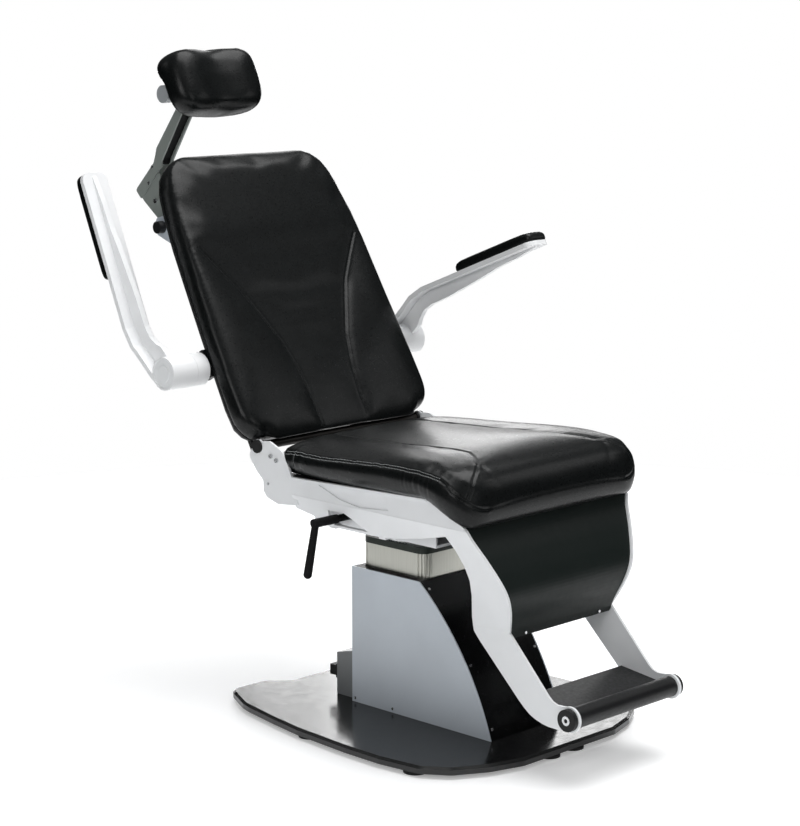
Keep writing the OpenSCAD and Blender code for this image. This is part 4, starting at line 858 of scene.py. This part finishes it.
# Name, place, width and height, power, and the point that it faces; metres and watts
LAMPS = [
    ("ceiling", (0.6, -0.3, 4.4), (3.6, 3.6), 185, (0.2, 0, 0)),
    ("key", (-4.2, -1.6, 2.4), (2.4, 2.2), 58, (0, 0, 0.7)),
    ("front", (-0.6, -4.6, 2.2), (2.0, 1.6), 20, (0, 0, 0.7)),
    ("rim", (2.6, 2.6, 2.2), (1.2, 2.0), 16, (0.1, 0, 0.7)),
    ("low_left", (2.92, 4.42, 0.9), (1.6, 0.8), 40, (-0.2, 0, 0.1)),
    ("seat_back", (4.13, 3.23, 1.75), (1.9, 0.6), 18, (0, 0, 0.6)),
    ("seat_side", (-2.4, 3.2, 2.9), (1.4, 1.0), 4, (-0.25, -0.1, 0.6)),
    ("low_front", (1.6, -1.4, 1.9), (1.1, 0.7), 3, (-0.1, 0.35, 0.75)),
]


def floor():
    mesh = bpy.data.meshes.new("floor")
    made = bmesh.new()
    bmesh.ops.create_circle(made, cap_ends=True, segments=FLOOR_SIDES, radius=FLOOR_HALF)
    made.to_mesh(mesh)
    made.free()
    obj = new_object("floor", mesh)
    f = Finish("pale_floor")
    f.colour(f.noise(FLOOR_PATCHES), FLOOR_COLOUR, FLOOR_TONES)
    f.roughness(f.noise(FLOOR_SHEEN), *FLOOR_ROUGH)
    f.set(Emission_Color=(1, 1, 1, 1), Emission_Strength=FLOOR_GLOW)
    wear(obj, f.mat)
    obj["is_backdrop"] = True


def studio():
    """A white backdrop to the camera, and a room for the light that is dim near the floor."""
    world = bpy.data.worlds.new("studio")
    bpy.context.scene.world = world
    world.use_nodes = True
    nodes, links = world.node_tree.nodes, world.node_tree.links
    room = nodes["Background"]
    room.inputs["Color"].default_value = ROOM_COLOUR
    split, reach = nodes.new("ShaderNodeSeparateXYZ"), nodes.new("ShaderNodeMapRange")
    links.new(nodes.new("ShaderNodeTexCoord").outputs["Generated"], split.inputs[0])
    links.new(split.outputs["Z"], reach.inputs["Value"])
    sockets = ("From Min", "From Max", "To Min", "To Max")
    for key, value in zip(sockets, ROOM_SLOPES + ROOM_STRENGTH):
        reach.inputs[key].default_value = value
    links.new(reach.outputs["Result"], room.inputs["Strength"])
    backdrop, mix = nodes.new("ShaderNodeBackground"), nodes.new("ShaderNodeMixShader")
    backdrop.inputs["Color"].default_value = BACKDROP_COLOUR
    links.new(nodes.new("ShaderNodeLightPath").outputs["Is Camera Ray"], mix.inputs[0])
    links.new(room.outputs[0], mix.inputs[1])
    links.new(backdrop.outputs[0], mix.inputs[2])
    links.new(mix.outputs[0], nodes["World Output"].inputs["Surface"])
    bpy.context.scene.view_settings.view_transform = "Standard"


def lamp(name, at, size, power, aim):
    light = bpy.data.lights.new(name, "AREA")
    light.shape, light.size, light.size_y = "RECTANGLE", *size
    light.energy = power
    obj = new_object(name, light)
    obj.location = at
    obj.rotation_euler = (Vector(aim) - Vector(at)).to_track_quat("-Z", "Y").to_euler()
    obj.visible_camera = False


def camera():
    a, e = math.radians(CAMERA_AZIMUTH), math.radians(CAMERA_ELEVATION)
    back = Vector((math.sin(a) * math.cos(e), -math.cos(a) * math.cos(e), math.sin(e)))
    data = bpy.data.cameras.new("camera")
    data.lens, data.sensor_width, data.sensor_fit = CAMERA_LENS, CAMERA_SENSOR, "AUTO"
    data.clip_start, data.clip_end = CAMERA_CLIP
    obj = new_object("camera", data)
    obj.location = CAMERA_AT
    obj.rotation_mode = "QUATERNION"
    obj.rotation_quaternion = (-back).to_track_quat("-Z", "Y")
    bpy.context.scene.camera = obj


dress_frame()
seat_cushion()
back_cushion()
head_cushion()
for side in ("right", "left"):
    arm_pad(side)
floor()
studio()
for row in LAMPS:
    lamp(*row)
camera()
note_box("visual")
